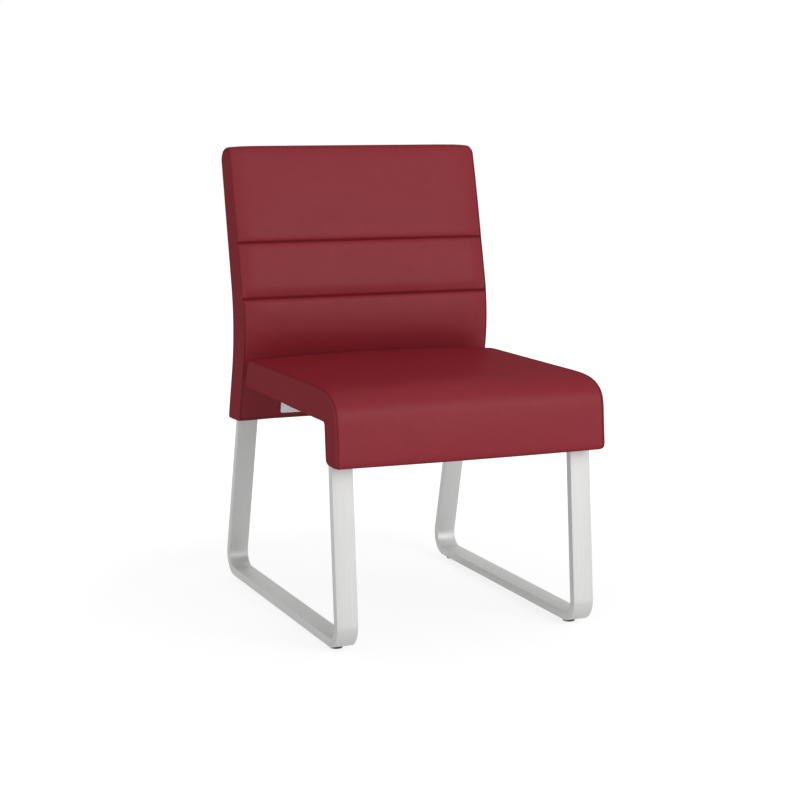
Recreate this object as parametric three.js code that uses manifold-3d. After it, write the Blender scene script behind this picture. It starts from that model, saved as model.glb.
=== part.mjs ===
// Sled base visitor chair: two bent flat steel side frames carry a plywood seat with a
// waterfall front and a curved plywood back, both padded and upholstered.
// Millimetres, +Z up, front of the chair towards -Y. Side outlines are drawn as {y, z}.

import * as THREE from 'three';
import { mergeVertices } from 'three/addons/utils/BufferGeometryUtils.js';
import Module from 'manifold-3d';

const wasm = await Module();
wasm.setup();

const degree = Math.PI / 180;

// Fits
const clearance = 0.3;          // air between pieces that touch
const overrun = 4;              // how far a cut runs past the face it opens

// Side frames
const frameWidth = 480;         // outside to outside
const barWidth = 38;
const barThickness = 15;
const barEase = 1.2;            // eased edges of the flat bar
const bendRadius = 40;          // outside of the two floor bends
const footprint = 624;          // front corner to rear corner along the floor rail
const frontLean = 4.9 * degree; // front legs lean back
const rearLean = 15 * degree;   // rear legs lean forward
const rearLegReach = 178;       // run of the rear legs up inside the back
const legTopGap = 8;            // front leg end below the seat

// Glides
const glideHeight = 7;
const glideRadius = 11;
const glideSetback = 58;        // from each end corner of the rail
const glideEase = 1;
const studRadius = 2.5;
const studInGlide = 4.5;
const studInRail = 9;

// Upholstery
const coverThickness = 1.2;
const sideEdge = 6;             // rounding from the top panel into the side panel

// Seat
const seatOverhang = 8.5;       // seat beyond the side frames, at each side
const seatUnderside = 393;
const seatThickness = 51.7;     // underside to side seam, at the back of the seat
const seatFall = 3.3;           // the seam drops this much towards the front
const seatBackGap = 30.5;       // rear end to the foot of the back, at the underside
const seatCrown = 8;            // top panel above its side seams
const seatRearRadius = 14;
const seatCornerRadius = 9;
const seatInnerRadius = 4;
const waterfallRun = 110;
const waterfallDrop = 50;
const waterfallPullShare = 0.6; // how flat the waterfall starts
const apronDrop = 74;           // apron below the underside of the seat
const apronThickness = 44;
const dustCoverThickness = 1;
const deckThickness = 12;
const boardThickness = 15;

// Back
const backOverhang = 9;         // back beyond the side frames, at each side
const backDrop = 73;            // foot of the back below the underside of the seat
const backRise = 387;           // top of the back above the side seam of the seat
const backRake = 12.4 * degree; // upper part leans back
const lumbarRise = 47.3;        // meeting of the two rear faces, above the seat's side seam
const lumbarRadius = 346;       // bend between them, on the rear face
const footFoamThickness = 16.5; // padding in front of the rear legs
const bulgeRise = 12;           // start of the front crown above the underside of the seat
const bulgeRun = 85;            // height over which it grows
const taperRun = 230;           // height over which the padding thins towards the top
const topTaper = 10.8;          // how much thinner it is there
const backCrown = 2.5;          // front panels above their side seams
const backRearCrown = 2;
const panelPuff = 1.5;          // each front panel between its sewn channels
const backTopRearRadius = 26;
const topRoundShare = 0.6;      // the most of the top edge that this rounding may take
const backTopFrontRadius = 11;
const backFootRadius = 8;
const plyThickness = 12;
const plyTopGap = 18;           // plywood edge below the top of the padding
const plyBottomGap = 4;
const rearFoamThickness = 6;
const upperPanel = 177;         // top of the back to the upper sewn channel
const middlePanel = 100.5;      // upper to lower sewn channel
const channelDepth = 6;
const channelSpread = 20;       // half width of the roll into a channel
const railHeight = 74;          // hardwood foot rail between the rear legs

// Bracket between seat and back
const bracketInset = 34;        // from the inner faces of the side frames
const bracketThickness = 3;
const bracketRadius = 6;        // outside of its bend
const bracketRise = 10;         // its lower edge above the foot of the back
const bracketReach = 110;       // seat flange, from the bend to its front edge
const bracketCorner = 5;

// Machine bolts, tee nuts and screws
const boltRadius = 4;
const boltHeadRadius = 7;
const boltHeadHeight = 4.4;
const boltHeadTopShare = 0.8;
const socketRadius = 2.4;
const socketDepth = 2.4;
const teeRadius = 9;
const teeFlange = 1.5;
const teeWall = 0.9;
const teeBarrel = 9;
const frontBoltShares = [0.72, 0.18]; // up the part of the board that faces the leg
const rearBoltRise = 45;        // lower rear bolt above the foot of the back
const rearBoltPitch = 60;
const screwRadius = 2;
const screwHeadRadius = 4;
const screwHeadHeight = 2.4;
const screwHeadTopShare = 0.75;
const apronScrewLength = 38;
const deckScrewLength = 13;
const railScrewLength = 20;
const screwInset = 38;          // outer screws from the ends of the bracket

// Facets
const bendSteps = 8;
const cornerSteps = 3;
const lumbarSteps = 8;
const waterfallSteps = 9;
const topSteps = 5;
const edgeSteps = 2;
const plateSteps = 4;
const roundSides = 12;
const screwSides = 8;
const glideSides = 20;

// Stations across a cushion, as shares of half the width of its main panel
const stationShares = [-1, -0.93, -0.76, -0.45, 0, 0.45, 0.76, 0.93, 1];
// Roll into a sewn channel: distance as a share of its spread, depth as a share of its depth
const channelShares = [[1, 0], [0.3, 0.42], [0.01, 1]];
// Rows of the three front panels, as shares of each panel from the top down
const upperPanelShares = [0.24, 0.5, 0.76];
const middlePanelShares = [0.5];
const lowerPanelShares = [0.35, 0.6, 0.85, 1];

// Heights and widths that follow from these
const seatWidth = frameWidth + 2 * seatOverhang;
const backWidth = frameWidth + 2 * backOverhang;
const seatSeam = seatUnderside + seatThickness;
const apronBottom = seatUnderside - apronDrop;
const backBottom = seatUnderside - backDrop;
const backTop = seatSeam + backRise;
const rearLegTop = backBottom + rearLegReach;
const lumbarHeight = seatSeam + lumbarRise;
const bulgeStart = seatUnderside + bulgeRise;
const bulgeEnd = bulgeStart + bulgeRun;
const taperStart = backTop - taperRun;
const channelHeights = [backTop - upperPanel, backTop - upperPanel - middlePanel];
const bracketBottom = backBottom + bracketRise;
const teeBarrelRadius = boltRadius + clearance + teeWall;

const leather = { color: 0x8a3b41, roughness: 0.5, metalness: 0 };
const steel = { color: 0xc4c5c4, roughness: 0.35, metalness: 1 };
const zinc = { color: 0xa9abab, roughness: 0.4, metalness: 1 };
const plywood = { color: 0xc29a6b, roughness: 0.7, metalness: 0 };
const hardwood = { color: 0xb08457, roughness: 0.7, metalness: 0 };
const foam = { color: 0xe8dfc0, roughness: 0.95, metalness: 0 };
const fabric = { color: 0x1f1f21, roughness: 0.95, metalness: 0 };
const plastic = { color: 0x4a4b4d, roughness: 0.6, metalness: 0 };

const chair = new THREE.Group();

function add(name, geometry, look) {
  const mesh = new THREE.Mesh(weld(geometry), new THREE.MeshStandardMaterial(look));
  mesh.name = name;
  chair.add(mesh);
}

// Merges shared corners, drops empty triangles and turns the faces outwards.
function weld(geometry) {
  const bare = geometry.clone();
  bare.deleteAttribute('normal');
  bare.deleteAttribute('uv');
  const merged = mergeVertices(bare);
  const index = Array.from(merged.index.array);
  const kept = [];
  for (let i = 0; i < index.length; i += 3) {
    const [a, b, c] = index.slice(i, i + 3);
    if (a !== b && b !== c && c !== a) kept.push(a, b, c);
  }
  if (volumeOf(merged.attributes.position, kept) < 0) kept.reverse();
  merged.setIndex(kept);
  merged.computeVertexNormals();
  return merged;
}

function volumeOf(position, index) {
  const a = new THREE.Vector3();
  const b = new THREE.Vector3();
  const c = new THREE.Vector3();
  let sum = 0;
  for (let i = 0; i < index.length; i += 3) {
    a.fromBufferAttribute(position, index[i]);
    b.fromBufferAttribute(position, index[i + 1]);
    c.fromBufferAttribute(position, index[i + 2]);
    sum += a.dot(b.cross(c)) / 6;
  }
  return sum;
}

function toSolid(geometry) {
  const welded = weld(geometry);
  return new wasm.Manifold(new wasm.Mesh({
    numProp: 3,
    vertProperties: new Float32Array(welded.attributes.position.array),
    triVerts: new Uint32Array(welded.index.array),
  }));
}

function toGeometry(solid) {
  const mesh = solid.getMesh();
  const geometry = new THREE.BufferGeometry();
  geometry.setAttribute('position', new THREE.BufferAttribute(new Float32Array(mesh.vertProperties), 3));
  geometry.setIndex(Array.from(mesh.triVerts));
  return geometry;
}

function cut(body, cutters) {
  let solid = toSolid(body);
  for (const cutter of cutters) solid = solid.subtract(toSolid(cutter));
  return toGeometry(solid);
}

function intersect(body, others) {
  let solid = toSolid(body);
  for (const other of others) solid = solid.intersect(toSolid(other));
  return toGeometry(solid);
}

// Side outlines

const at = (y, z) => ({ y, z });
const along = (p, direction, distance) => at(p.y + direction.y * distance, p.z + direction.z * distance);
const towards = (p, q, share) => at(p.y + (q.y - p.y) * share, p.z + (q.z - p.z) * share);

function heading(p, q) {
  const length = Math.hypot(q.y - p.y, q.z - p.z);
  return at((q.y - p.y) / length, (q.z - p.z) / length);
}

// Arc that rounds the corner at p between its neighbours, or p itself when it has no radius.
function roundCorner(before, p, after) {
  if (!p.radius) return [p];
  const inward = heading(before, p);
  const outward = heading(p, after);
  const turn = Math.atan2(inward.y * outward.z - inward.z * outward.y,
    inward.y * outward.y + inward.z * outward.z);
  const start = along(p, inward, -p.radius * Math.abs(Math.tan(turn / 2)));
  const side = Math.sign(turn);
  const centre = along(start, at(-inward.z * side, inward.y * side), p.radius);
  const from = Math.atan2(start.z - centre.z, start.y - centre.y);
  const steps = p.steps || cornerSteps;
  const arc = [];
  for (let i = 0; i <= steps; i += 1) {
    const angle = from + turn * i / steps;
    arc.push(along(centre, at(Math.cos(angle), Math.sin(angle)), p.radius));
  }
  return arc;
}

function roundOpen(corners) {
  const last = corners.length - 1;
  return corners.flatMap((p, i) => (
    i === 0 || i === last ? [p] : roundCorner(corners[i - 1], p, corners[i + 1])));
}

// Closed outline with rounded corners; marks tell where each named corner begins and ends.
function roundClosed(corners) {
  const points = [];
  const marks = {};
  corners.forEach((p, i) => {
    const before = corners[(i + corners.length - 1) % corners.length];
    const after = corners[(i + 1) % corners.length];
    const first = points.length;
    points.push(...roundCorner(before, p, after));
    if (p.mark) marks[p.mark] = [first, points.length - 1];
  });
  return { points, marks };
}

// Solids

const sideways = new THREE.Matrix4().makeBasis(
  new THREE.Vector3(0, 1, 0), new THREE.Vector3(0, 0, 1), new THREE.Vector3(1, 0, 0));

function prism(outline, fromX, toX, ease = 0) {
  const shape = new THREE.Shape(outline.map((p) => new THREE.Vector2(p.y, p.z)));
  const geometry = new THREE.ExtrudeGeometry(shape, {
    depth: toX - fromX - 2 * ease,
    bevelEnabled: ease > 0,
    bevelThickness: ease,
    bevelSize: ease,
    bevelOffset: -ease,
    bevelSegments: 1,
  });
  geometry.translate(0, 0, fromX + ease);
  return geometry.applyMatrix4(sideways);
}

// Turned piece. The profile holds [radius, height] pairs; height runs along the direction.
function turned(profile, origin, direction, sides = roundSides) {
  const points = profile.map(([radius, height]) => new THREE.Vector2(radius, height));
  const geometry = new THREE.LatheGeometry(points, sides);
  const turn = new THREE.Quaternion().setFromUnitVectors(new THREE.Vector3(0, 1, 0), direction);
  geometry.applyQuaternion(turn);
  return geometry.translate(origin.x, origin.y, origin.z);
}

// Closed body through rings of equal length, with flat ends across X.
function throughRings(rings) {
  const count = rings[0].length;
  const vertices = rings.flat().flatMap((p) => [p.x, p.y, p.z]);
  const index = [];
  for (let r = 0; r + 1 < rings.length; r += 1) {
    for (let i = 0; i < count; i += 1) {
      const a = r * count + i;
      const b = r * count + (i + 1) % count;
      index.push(a, b, b + count, a, b + count, a + count);
    }
  }
  const close = (ring, base, flip) => {
    const flat = ring.map((p) => new THREE.Vector2(p.y, p.z));
    for (const [a, b, c] of THREE.ShapeUtils.triangulateShape(flat, [])) {
      index.push(base + a, base + (flip ? c : b), base + (flip ? b : c));
    }
  };
  close(rings[0], 0, true);
  close(rings[rings.length - 1], (rings.length - 1) * count, false);
  return indexed(vertices, index);
}

// Closed body between an outer and an inner grid of points.
function betweenGrids(outer, inner) {
  const rows = outer.length;
  const columns = outer[0].length;
  const size = rows * columns;
  const vertices = [...outer.flat(), ...inner.flat()].flatMap((p) => [p.x, p.y, p.z]);
  const index = [];
  const quad = (a, b, c, d) => index.push(a, b, c, a, c, d);
  const node = (r, c) => r * columns + c;
  for (let r = 0; r + 1 < rows; r += 1) {
    for (let c = 0; c + 1 < columns; c += 1) {
      const [p, q, s, t] = [node(r, c), node(r, c + 1), node(r + 1, c + 1), node(r + 1, c)];
      quad(p, q, s, t);
      quad(size + p, size + t, size + s, size + q);
    }
    for (const [c, flip] of [[0, false], [columns - 1, true]]) {
      const [p, t] = [node(r, c), node(r + 1, c)];
      if (flip) quad(p, size + p, size + t, t);
      else quad(p, t, size + t, size + p);
    }
  }
  for (let c = 0; c + 1 < columns; c += 1) {
    for (const [r, flip] of [[0, true], [rows - 1, false]]) {
      const [p, q] = [node(r, c), node(r, c + 1)];
      if (flip) quad(p, size + p, size + q, q);
      else quad(p, q, size + q, size + p);
    }
  }
  return indexed(vertices, index);
}

function indexed(vertices, index) {
  const geometry = new THREE.BufferGeometry();
  geometry.setAttribute('position', new THREE.Float32BufferAttribute(vertices, 3));
  geometry.setIndex(index);
  return geometry;
}

// Padded bodies. A pad is a closed side outline, half its width and a swell, which is how
// far the skin stands out from the outline at a place across the pad.

function pad(outline, half, swell) {
  const { points, marks } = outline;
  const normals = points.map((p, i) => {
    const before = heading(points[(i + points.length - 1) % points.length], p);
    const after = heading(p, points[(i + 1) % points.length]);
    const sum = at(before.z + after.z, -before.y - after.y);
    const length = Math.hypot(sum.y, sum.z);
    const normal = at(sum.y / length, sum.z / length);
    normal.mitre = 2 / length;
    return normal;
  });
  return { points, marks, normals, half, swell };
}

function skin(body, x, i, depth, place = body.points[i]) {
  const normal = body.normals[i];
  const swell = body.swell(x, body.points[i], normal);
  const p = along(place, normal, (swell - depth) * normal.mitre);
  return new THREE.Vector3(x, p.y, p.z);
}

function stationsAcross(body) {
  const reach = body.half - sideEdge - clearance;
  return stationShares.map((share) => share * reach);
}

// Upholstery panel along the outline from one point to another.
function panel(body, first, last) {
  const count = body.points.length;
  const steps = (last - first + count) % count;
  const rows = [...Array(steps + 1).keys()].map((k) => (first + k) % count);
  const grid = (depth) => rows.map((i, k) => {
    let place = body.points[i];
    if (k === 0 || k === steps) {
      const next = body.points[k === 0 ? rows[1] : rows[k - 1]];
      place = along(place, heading(place, next), clearance / 2);
    }
    return stationsAcross(body).map((x) => skin(body, x, i, depth, place));
  });
  return betweenGrids(grid(0), grid(coverThickness));
}

function ring(body, x, depth) {
  return body.points.map((p, i) => {
    const q = along(p, body.normals[i], -depth * body.normals[i].mitre);
    return new THREE.Vector3(x, q.y, q.z);
  });
}

// Quarter round from the main panel to the flat of the side, at a radius inside the edge.
function edgeRings(body, side, radius) {
  return [...Array(edgeSteps + 1).keys()].map((k) => {
    const angle = Math.PI / 2 * k / edgeSteps;
    const x = side * (body.half - sideEdge + radius * Math.sin(angle));
    return ring(body, x, sideEdge - radius * Math.cos(angle));
  });
}

// Side panel of the upholstery, rolled over the edge to meet the main panels.
function boxing(body, side) {
  const inner = edgeRings(body, side, sideEdge - coverThickness).reverse();
  const outer = edgeRings(body, side, sideEdge);
  return throughRings([...inner, ...outer]);
}

// Filling under the upholstery.
function filling(body) {
  const depth = coverThickness + clearance;
  const radius = sideEdge - depth;
  const across = stationsAcross(body).map((x) => body.points.map((p, i) => skin(body, x, i, depth)));
  const left = edgeRings(body, -1, radius).reverse();
  const right = edgeRings(body, 1, radius);
  return throughRings([...left, ...across, ...right]);
}

const bow = (x, half, power) => 1 - Math.abs(x / half) ** power;
const smooth = (value, low, high) => {
  const t = Math.min(1, Math.max(0, (value - low) / (high - low)));
  return t * t * (3 - 2 * t);
};

// Side frame: front leg, floor rail and rear leg, drawn along their outer faces

const frontUp = at(Math.sin(frontLean), Math.cos(frontLean));
const rearUp = at(-Math.sin(rearLean), Math.cos(rearLean));
const forward = at(-Math.cos(frontLean), Math.sin(frontLean));   // out of the front leg
const rearward = at(Math.cos(rearLean), Math.sin(rearLean));     // out of the rear leg
const frontCorner = at(0, glideHeight);
const rearCorner = at(footprint, glideHeight);
const frontFaceAt = (z) => along(frontCorner, frontUp, (z - glideHeight) / frontUp.z);
const rearFaceAt = (z) => along(rearCorner, rearUp, (z - glideHeight) / rearUp.z);
const frontLegTop = seatUnderside - legTopGap;
const barMiddle = frameWidth / 2 - barWidth / 2;

function legOutline() {
  const outside = [
    frontFaceAt(frontLegTop),
    { ...frontCorner, radius: bendRadius, steps: bendSteps },
    { ...rearCorner, radius: bendRadius, steps: bendSteps },
    rearFaceAt(rearLegTop),
  ];
  const innerRadius = bendRadius - barThickness;
  const frontMitre = barThickness * Math.tan(Math.PI / 4 + frontLean / 2);
  const rearMitre = barThickness * Math.tan(Math.PI / 4 + rearLean / 2);
  const innerZ = glideHeight + barThickness;
  const inside = [
    along(outside[0], forward, -barThickness),
    { ...at(frontMitre, innerZ), radius: innerRadius, steps: bendSteps },
    { ...at(footprint - rearMitre, innerZ), radius: innerRadius, steps: bendSteps },
    along(outside[3], rearward, -barThickness),
  ];
  return [...roundOpen(outside), ...roundOpen(inside).reverse()];
}

const frameOutline = legOutline();
const innerFace = frameWidth / 2 - barWidth;

function legClearance(side) {
  const grown = [
    along(rearFaceAt(0), rearward, clearance),
    along(along(rearFaceAt(rearLegTop), rearUp, clearance), rearward, clearance),
    along(along(rearFaceAt(rearLegTop), rearUp, clearance), rearward, -barThickness - clearance),
    along(rearFaceAt(0), rearward, -barThickness - clearance),
  ];
  const [low, high] = [innerFace - clearance, frameWidth / 2 + clearance];
  return prism(grown, side > 0 ? low : -high, side > 0 ? high : -low);
}

// Fasteners. Heights run from under the head; grow swells a profile into its clearance.

function boltProfile(length, grow = 0) {
  const top = boltHeadHeight + grow;
  const floor = top - socketDepth;
  const socket = grow ? [] : [[0, floor], [socketRadius, floor], [socketRadius, top]];
  return [
    [0, -length - grow], [boltRadius + grow, -length - grow], [boltRadius + grow, -grow / 2],
    [boltHeadRadius + grow, -grow / 2], [boltHeadRadius + grow, top / 2],
    [boltHeadRadius * boltHeadTopShare + grow, top],
    ...(grow ? [[0, top]] : socket.reverse()),
  ];
}

// Tee nut, height from the face that carries its flange; the barrel goes down the hole.
function teeProfile() {
  const bore = boltRadius + clearance;
  return [
    [bore, -teeBarrel], [teeBarrelRadius, -teeBarrel], [teeBarrelRadius, clearance],
    [teeRadius, clearance], [teeRadius, clearance + teeFlange], [bore, clearance + teeFlange],
    [bore, -teeBarrel],
  ];
}

function teeClearance() {
  return [
    [0, -teeBarrel - clearance], [teeBarrelRadius + clearance, -teeBarrel - clearance],
    [teeBarrelRadius + clearance, clearance / 2], [teeRadius + clearance, clearance / 2],
    [teeRadius + clearance, teeFlange + 2 * clearance], [0, teeFlange + 2 * clearance],
  ];
}

function screwProfile(length, grow = 0) {
  return [
    [0, -length - grow], [screwRadius + grow, -length + screwRadius - grow],
    [screwRadius + grow, -grow / 2], [screwHeadRadius + grow, -grow / 2],
    [screwHeadRadius * screwHeadTopShare + grow, screwHeadHeight + grow],
    [0, screwHeadHeight + grow],
  ];
}

const point = (x, p) => new THREE.Vector3(x, p.y, p.z);
const vector = (direction) => new THREE.Vector3(0, direction.y, direction.z);
const reversed = (direction) => at(-direction.y, -direction.z);
const ahead = at(-1, 0);
const down = at(0, -1);

// Bolted leg joint: head on one face of the bar, tee nut on the far face of the wood.
// head is the place of the seat of the head, out is the direction that the head faces.
function boltedJoint(name, x, head, out, length, woodFace) {
  const seat = along(head, out, clearance);
  add(`${name}_bolt`, turned(boltProfile(length), point(x, seat), vector(out)), zinc);
  add(`${name}_tee_nut`, turned(teeProfile(), point(x, woodFace), vector(reversed(out))), zinc);
  return [
    turned(boltProfile(length, clearance), point(x, seat), vector(out)),
    turned(teeClearance(), point(x, woodFace), vector(reversed(out))),
  ];
}

// Back outline, drawn at the side seams. A back line runs up the back at a distance in
// front of the rear face: straight along the rear legs, bent at the lumbar, then raked.

const backUp = at(Math.sin(backRake), Math.cos(backRake));
const plyRearDepth = coverThickness + clearance + rearFoamThickness + clearance;
const plyFrontDepth = plyRearDepth + plyThickness;
const legDepth = plyFrontDepth + clearance;
const footFrontDepth = legDepth + barThickness + clearance + footFoamThickness + clearance
  + coverThickness;
const footDepth = footFrontDepth / Math.cos(rearLean);   // front to rear, level
const rearSurfaceAt = (z) => {
  const leg = along(rearFaceAt(z), rearward, legDepth);
  return along(leg, rearUp, (z - leg.z) / rearUp.z);
};
const lumbar = rearSurfaceAt(lumbarHeight);

function backLine(depth, low, high) {
  const lowerIn = reversed(rearward);
  const upperIn = at(-backUp.z, backUp.y);
  const share = depth / (1 + lowerIn.y * upperIn.y + lowerIn.z * upperIn.z);
  const vertex = at(lumbar.y + (lowerIn.y + upperIn.y) * share, lumbar.z + (lowerIn.z + upperIn.z) * share);
  return [
    along(vertex, rearUp, (low - vertex.z) / rearUp.z),
    { ...vertex, radius: lumbarRadius + depth, steps: lumbarSteps },
    along(vertex, backUp, (high - vertex.z) / backUp.z),
  ];
}

const footPoint = (depth, z) => backLine(depth, z, backTop)[0];
const topPoint = (depth, z) => backLine(depth, backBottom, z)[2];
const rearCurve = roundOpen(backLine(0, 0, backTop + overrun));

function rearAt(z) {
  const i = rearCurve.findIndex((p) => p.z >= z);
  const [p, q] = [rearCurve[i - 1], rearCurve[i]];
  return towards(p, q, (z - p.z) / (q.z - p.z)).y;
}

function depthAt(z) {
  const taper = Math.max(0, (z - taperStart) / (backTop - taperStart)) ** 2;
  return footDepth - topTaper * taper;
}

const backFront = (z) => at(rearAt(z) - depthAt(z), z);

// Heights of the front outline from the top down: the rolls into each channel and the
// stretches of the panels between them.
function frontHeights() {
  const [upper, lower] = channelHeights;
  const roll = (height, sign) => channelShares.map(([share]) => height + sign * share * channelSpread);
  const between = (from, to, shares) => shares.map((share) => from + (to - from) * share);
  return [
    ...between(backTop, upper + channelSpread, upperPanelShares),
    ...roll(upper, 1), ...roll(upper, -1).reverse(),
    ...between(upper - channelSpread, lower + channelSpread, middlePanelShares),
    ...roll(lower, 1), ...roll(lower, -1).reverse(),
    ...between(lower - channelSpread, bulgeStart, lowerPanelShares),
  ];
}

function backOutline() {
  const [low, bend, high] = backLine(0, backBottom, backTop);
  const front = frontHeights().map(backFront);
  const channelMark = (i) => front.findIndex((p) => p.z < channelHeights[i]);
  front[channelMark(0)].mark = 'upperChannel';
  front[channelMark(1)].mark = 'lowerChannel';
  const topRadius = Math.min(backTopRearRadius, topRoundShare * depthAt(backTop));
  return roundClosed([
    { ...low, radius: backFootRadius },
    bend,
    { ...high, radius: topRadius, mark: 'topRear', steps: topSteps },
    { ...backFront(backTop), radius: backTopFrontRadius },
    ...front,
    { ...backFront(backBottom), radius: backFootRadius, mark: 'footFront' },
  ]);
}

// How deep the skin is drawn in at a height by the sewn channels.
function channelAt(z) {
  let depth = 0;
  for (const height of channelHeights) {
    const distance = Math.abs(z - height) / channelSpread;
    for (let i = 0; i + 1 < channelShares.length; i += 1) {
      const [[far, shallow], [near, deep]] = [channelShares[i], channelShares[i + 1]];
      const t = (far - distance) / (far - near);
      if (t >= 0 && t <= 1) depth = Math.max(depth, shallow + (deep - shallow) * t);
    }
    if (distance < channelShares[channelShares.length - 1][0]) depth = 1;
  }
  return depth * channelDepth;
}

// Puff of each front panel, highest midway between its seams.
function puffAt(z) {
  const seams = [backTop, ...channelHeights, bulgeStart];
  for (let i = 0; i + 1 < seams.length; i += 1) {
    if (z <= seams[i] && z >= seams[i + 1]) {
      return panelPuff * Math.sin(Math.PI * (z - seams[i + 1]) / (seams[i] - seams[i + 1]));
    }
  }
  return 0;
}

const backHalf = backWidth / 2;
const back = pad(backOutline(), backHalf, (x, p, normal) => {
  const front = Math.max(0, -normal.y);
  const rear = Math.max(0, normal.y);
  const swell = (backCrown * smooth(p.z, bulgeStart, bulgeEnd) + puffAt(p.z)) * bow(x, backHalf, 4);
  const isFront = normal.y < 0 ? channelAt(p.z) : 0;
  return front * swell - isFront + rear * backRearCrown * bow(x, backHalf, 2);
});

// Seat outline, drawn at the side seams, counter-clockwise from the underside at the rear

const apronBack = (z) => along(frontFaceAt(z), forward, clearance);
const apronFront = (z) => along(frontFaceAt(z), forward, clearance + apronThickness);
const seatRearLow = along(footPoint(footFrontDepth, seatUnderside), ahead, seatBackGap);
const seatRearHigh = along(seatRearLow, rearUp, (seatSeam - seatUnderside) / rearUp.z);
// The front bottom corner is taken lower on the leg, so that the apron's bottom runs level.
const apronLevel = apronBottom - (clearance + apronThickness) * forward.z;
const seatBrow = apronFront(seatSeam - seatFall);

function waterfall() {
  const start = towards(seatBrow, seatRearHigh, waterfallRun / (seatRearHigh.y - seatBrow.y));
  const end = along(seatBrow, frontUp, -waterfallDrop);
  const pull = towards(start, seatBrow, waterfallPullShare);
  const flat = (p) => new THREE.Vector2(p.y, p.z);
  const curve = new THREE.CubicBezierCurve(flat(start), flat(pull), flat(seatBrow), flat(end));
  return curve.getPoints(waterfallSteps).map((p) => at(p.x, p.y));
}

const seatOutline = roundClosed([
  { ...seatRearLow, radius: seatCornerRadius, mark: 'rearLow' },
  { ...seatRearHigh, radius: seatRearRadius },
  ...waterfall(),
  { ...apronFront(apronLevel), radius: seatCornerRadius },
  { ...apronBack(apronBottom), radius: seatCornerRadius },
  { ...apronBack(seatUnderside), radius: seatInnerRadius, mark: 'inner' },
]);

const seatHalf = seatWidth / 2;
const seat = pad(seatOutline, seatHalf, (x, p, normal) => (
  seatCrown * bow(x, seatHalf, 2) * (Math.max(0, normal.z) + Math.max(0, -normal.y) / 2)));

// Seat woodwork

const boardDepth = clearance + coverThickness + clearance;   // from the leg into the board
const deckHalf = seatHalf - sideEdge;
const deckBottom = seatUnderside + dustCoverThickness + clearance;
const deckTop = deckBottom + deckThickness;
const boardBottom = apronBottom + seatCornerRadius;
const boardBack = (z) => along(frontFaceAt(z), forward, boardDepth);
const boardFront = (z) => along(boardBack(z), forward, boardThickness);
const deckFront = boardBack(deckTop).y + clearance;
const deckRear = seat.points[seat.marks.rearLow[0]].y - clearance;
const deckMiddle = (deckBottom + deckTop) / 2;

const deckOutline = (grow) => [
  at(deckFront - grow, deckBottom - grow), at(deckRear + grow, deckBottom - grow),
  at(deckRear + grow, deckTop + grow), at(deckFront - grow, deckTop + grow),
];
const boardOutline = (grow) => [
  along(along(boardBack(boardBottom), frontUp, -grow), forward, -grow),
  along(along(boardBack(deckTop), frontUp, grow), forward, -grow),
  along(along(boardFront(deckTop), frontUp, grow), forward, grow),
  along(along(boardFront(boardBottom), frontUp, -grow), forward, grow),
];

// Back woodwork

const plyHalf = backHalf - sideEdge + coverThickness;
const plyBottom = backBottom + plyBottomGap;
const plyTop = backTop - plyTopGap;

const plyOutline = [
  ...roundOpen(backLine(plyRearDepth, plyBottom, plyTop)),
  ...roundOpen(backLine(plyFrontDepth, plyBottom, plyTop)).reverse(),
];

// The foot rail fills the back between the rear legs, from the plywood to the cover.
const railFrontDepth = footFrontDepth - coverThickness - clearance;
const railBottom = backBottom + backFootRadius;
const railTop = railBottom + railHeight;
const railOutline = (grow) => [
  footPoint(legDepth - grow, railBottom - grow), footPoint(legDepth - grow, railTop + grow),
  footPoint(railFrontDepth + grow, railTop + grow), footPoint(railFrontDepth + grow, railBottom - grow),
];
const railHalf = innerFace - clearance;

// Side frames, glides and their studs

const glidePlaces = [];
for (const [side, sideName] of [[-1, 'left'], [1, 'right']]) {
  for (const [y, endName] of [[glideSetback, 'front'], [footprint - glideSetback, 'rear']]) {
    glidePlaces.push({ side, name: `${endName}_${sideName}`, place: point(side * barMiddle, at(y, 0)) });
  }
}

const up = new THREE.Vector3(0, 0, 1);
const glideTop = glideHeight - clearance;
const studBottom = glideTop - studInGlide;
const studTop = glideHeight + studInRail;
const studProfile = (grow) => [
  [0, studBottom - grow], [studRadius + grow, studBottom - grow],
  [studRadius + grow, studTop + grow], [0, studTop + grow],
];
const boreRadius = studRadius + clearance;
const glideProfile = [
  [0, 0], [glideRadius - glideEase, 0], [glideRadius, glideEase], [glideRadius, glideTop],
  [boreRadius, glideTop], [boreRadius, studBottom - clearance], [0, studBottom - clearance],
];

for (const { name, place } of glidePlaces) {
  add(`glide_${name}`, turned(glideProfile, place, up, glideSides), plastic);
  add(`glide_stud_${name}`, turned(studProfile(0), place, up, screwSides), zinc);
}

// Bolts of the legs

const frontStack = barThickness + 2 * clearance + coverThickness + clearance + boardThickness;
const frontBoltLength = frontStack + teeFlange;
const rearBoltLength = barThickness + plyThickness + 2 * clearance + teeFlange;
const frontHead = (z) => along(frontFaceAt(z), forward, -barThickness);
const rearHead = (z) => along(rearFaceAt(z), rearward, -barThickness);
const boltCuts = [];

for (const [side, sideName] of [[-1, 'left'], [1, 'right']]) {
  for (const [level, name] of [[0, 'upper'], [1, 'lower']]) {
    const x = side * barMiddle;
    const z = boardBottom + frontBoltShares[level] * (frontLegTop - boardBottom);
    boltCuts.push(...boltedJoint(`front_${name}_${sideName}`, x, frontHead(z), reversed(forward),
      frontBoltLength, along(frontFaceAt(z), forward, boardDepth + boardThickness)));
    const height = backBottom + rearBoltRise + (1 - level) * rearBoltPitch;
    boltCuts.push(...boltedJoint(`rear_${name}_${sideName}`, x, rearHead(height), reversed(rearward),
      rearBoltLength, along(rearFaceAt(height), rearward, clearance + plyThickness)));
  }
}

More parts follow.
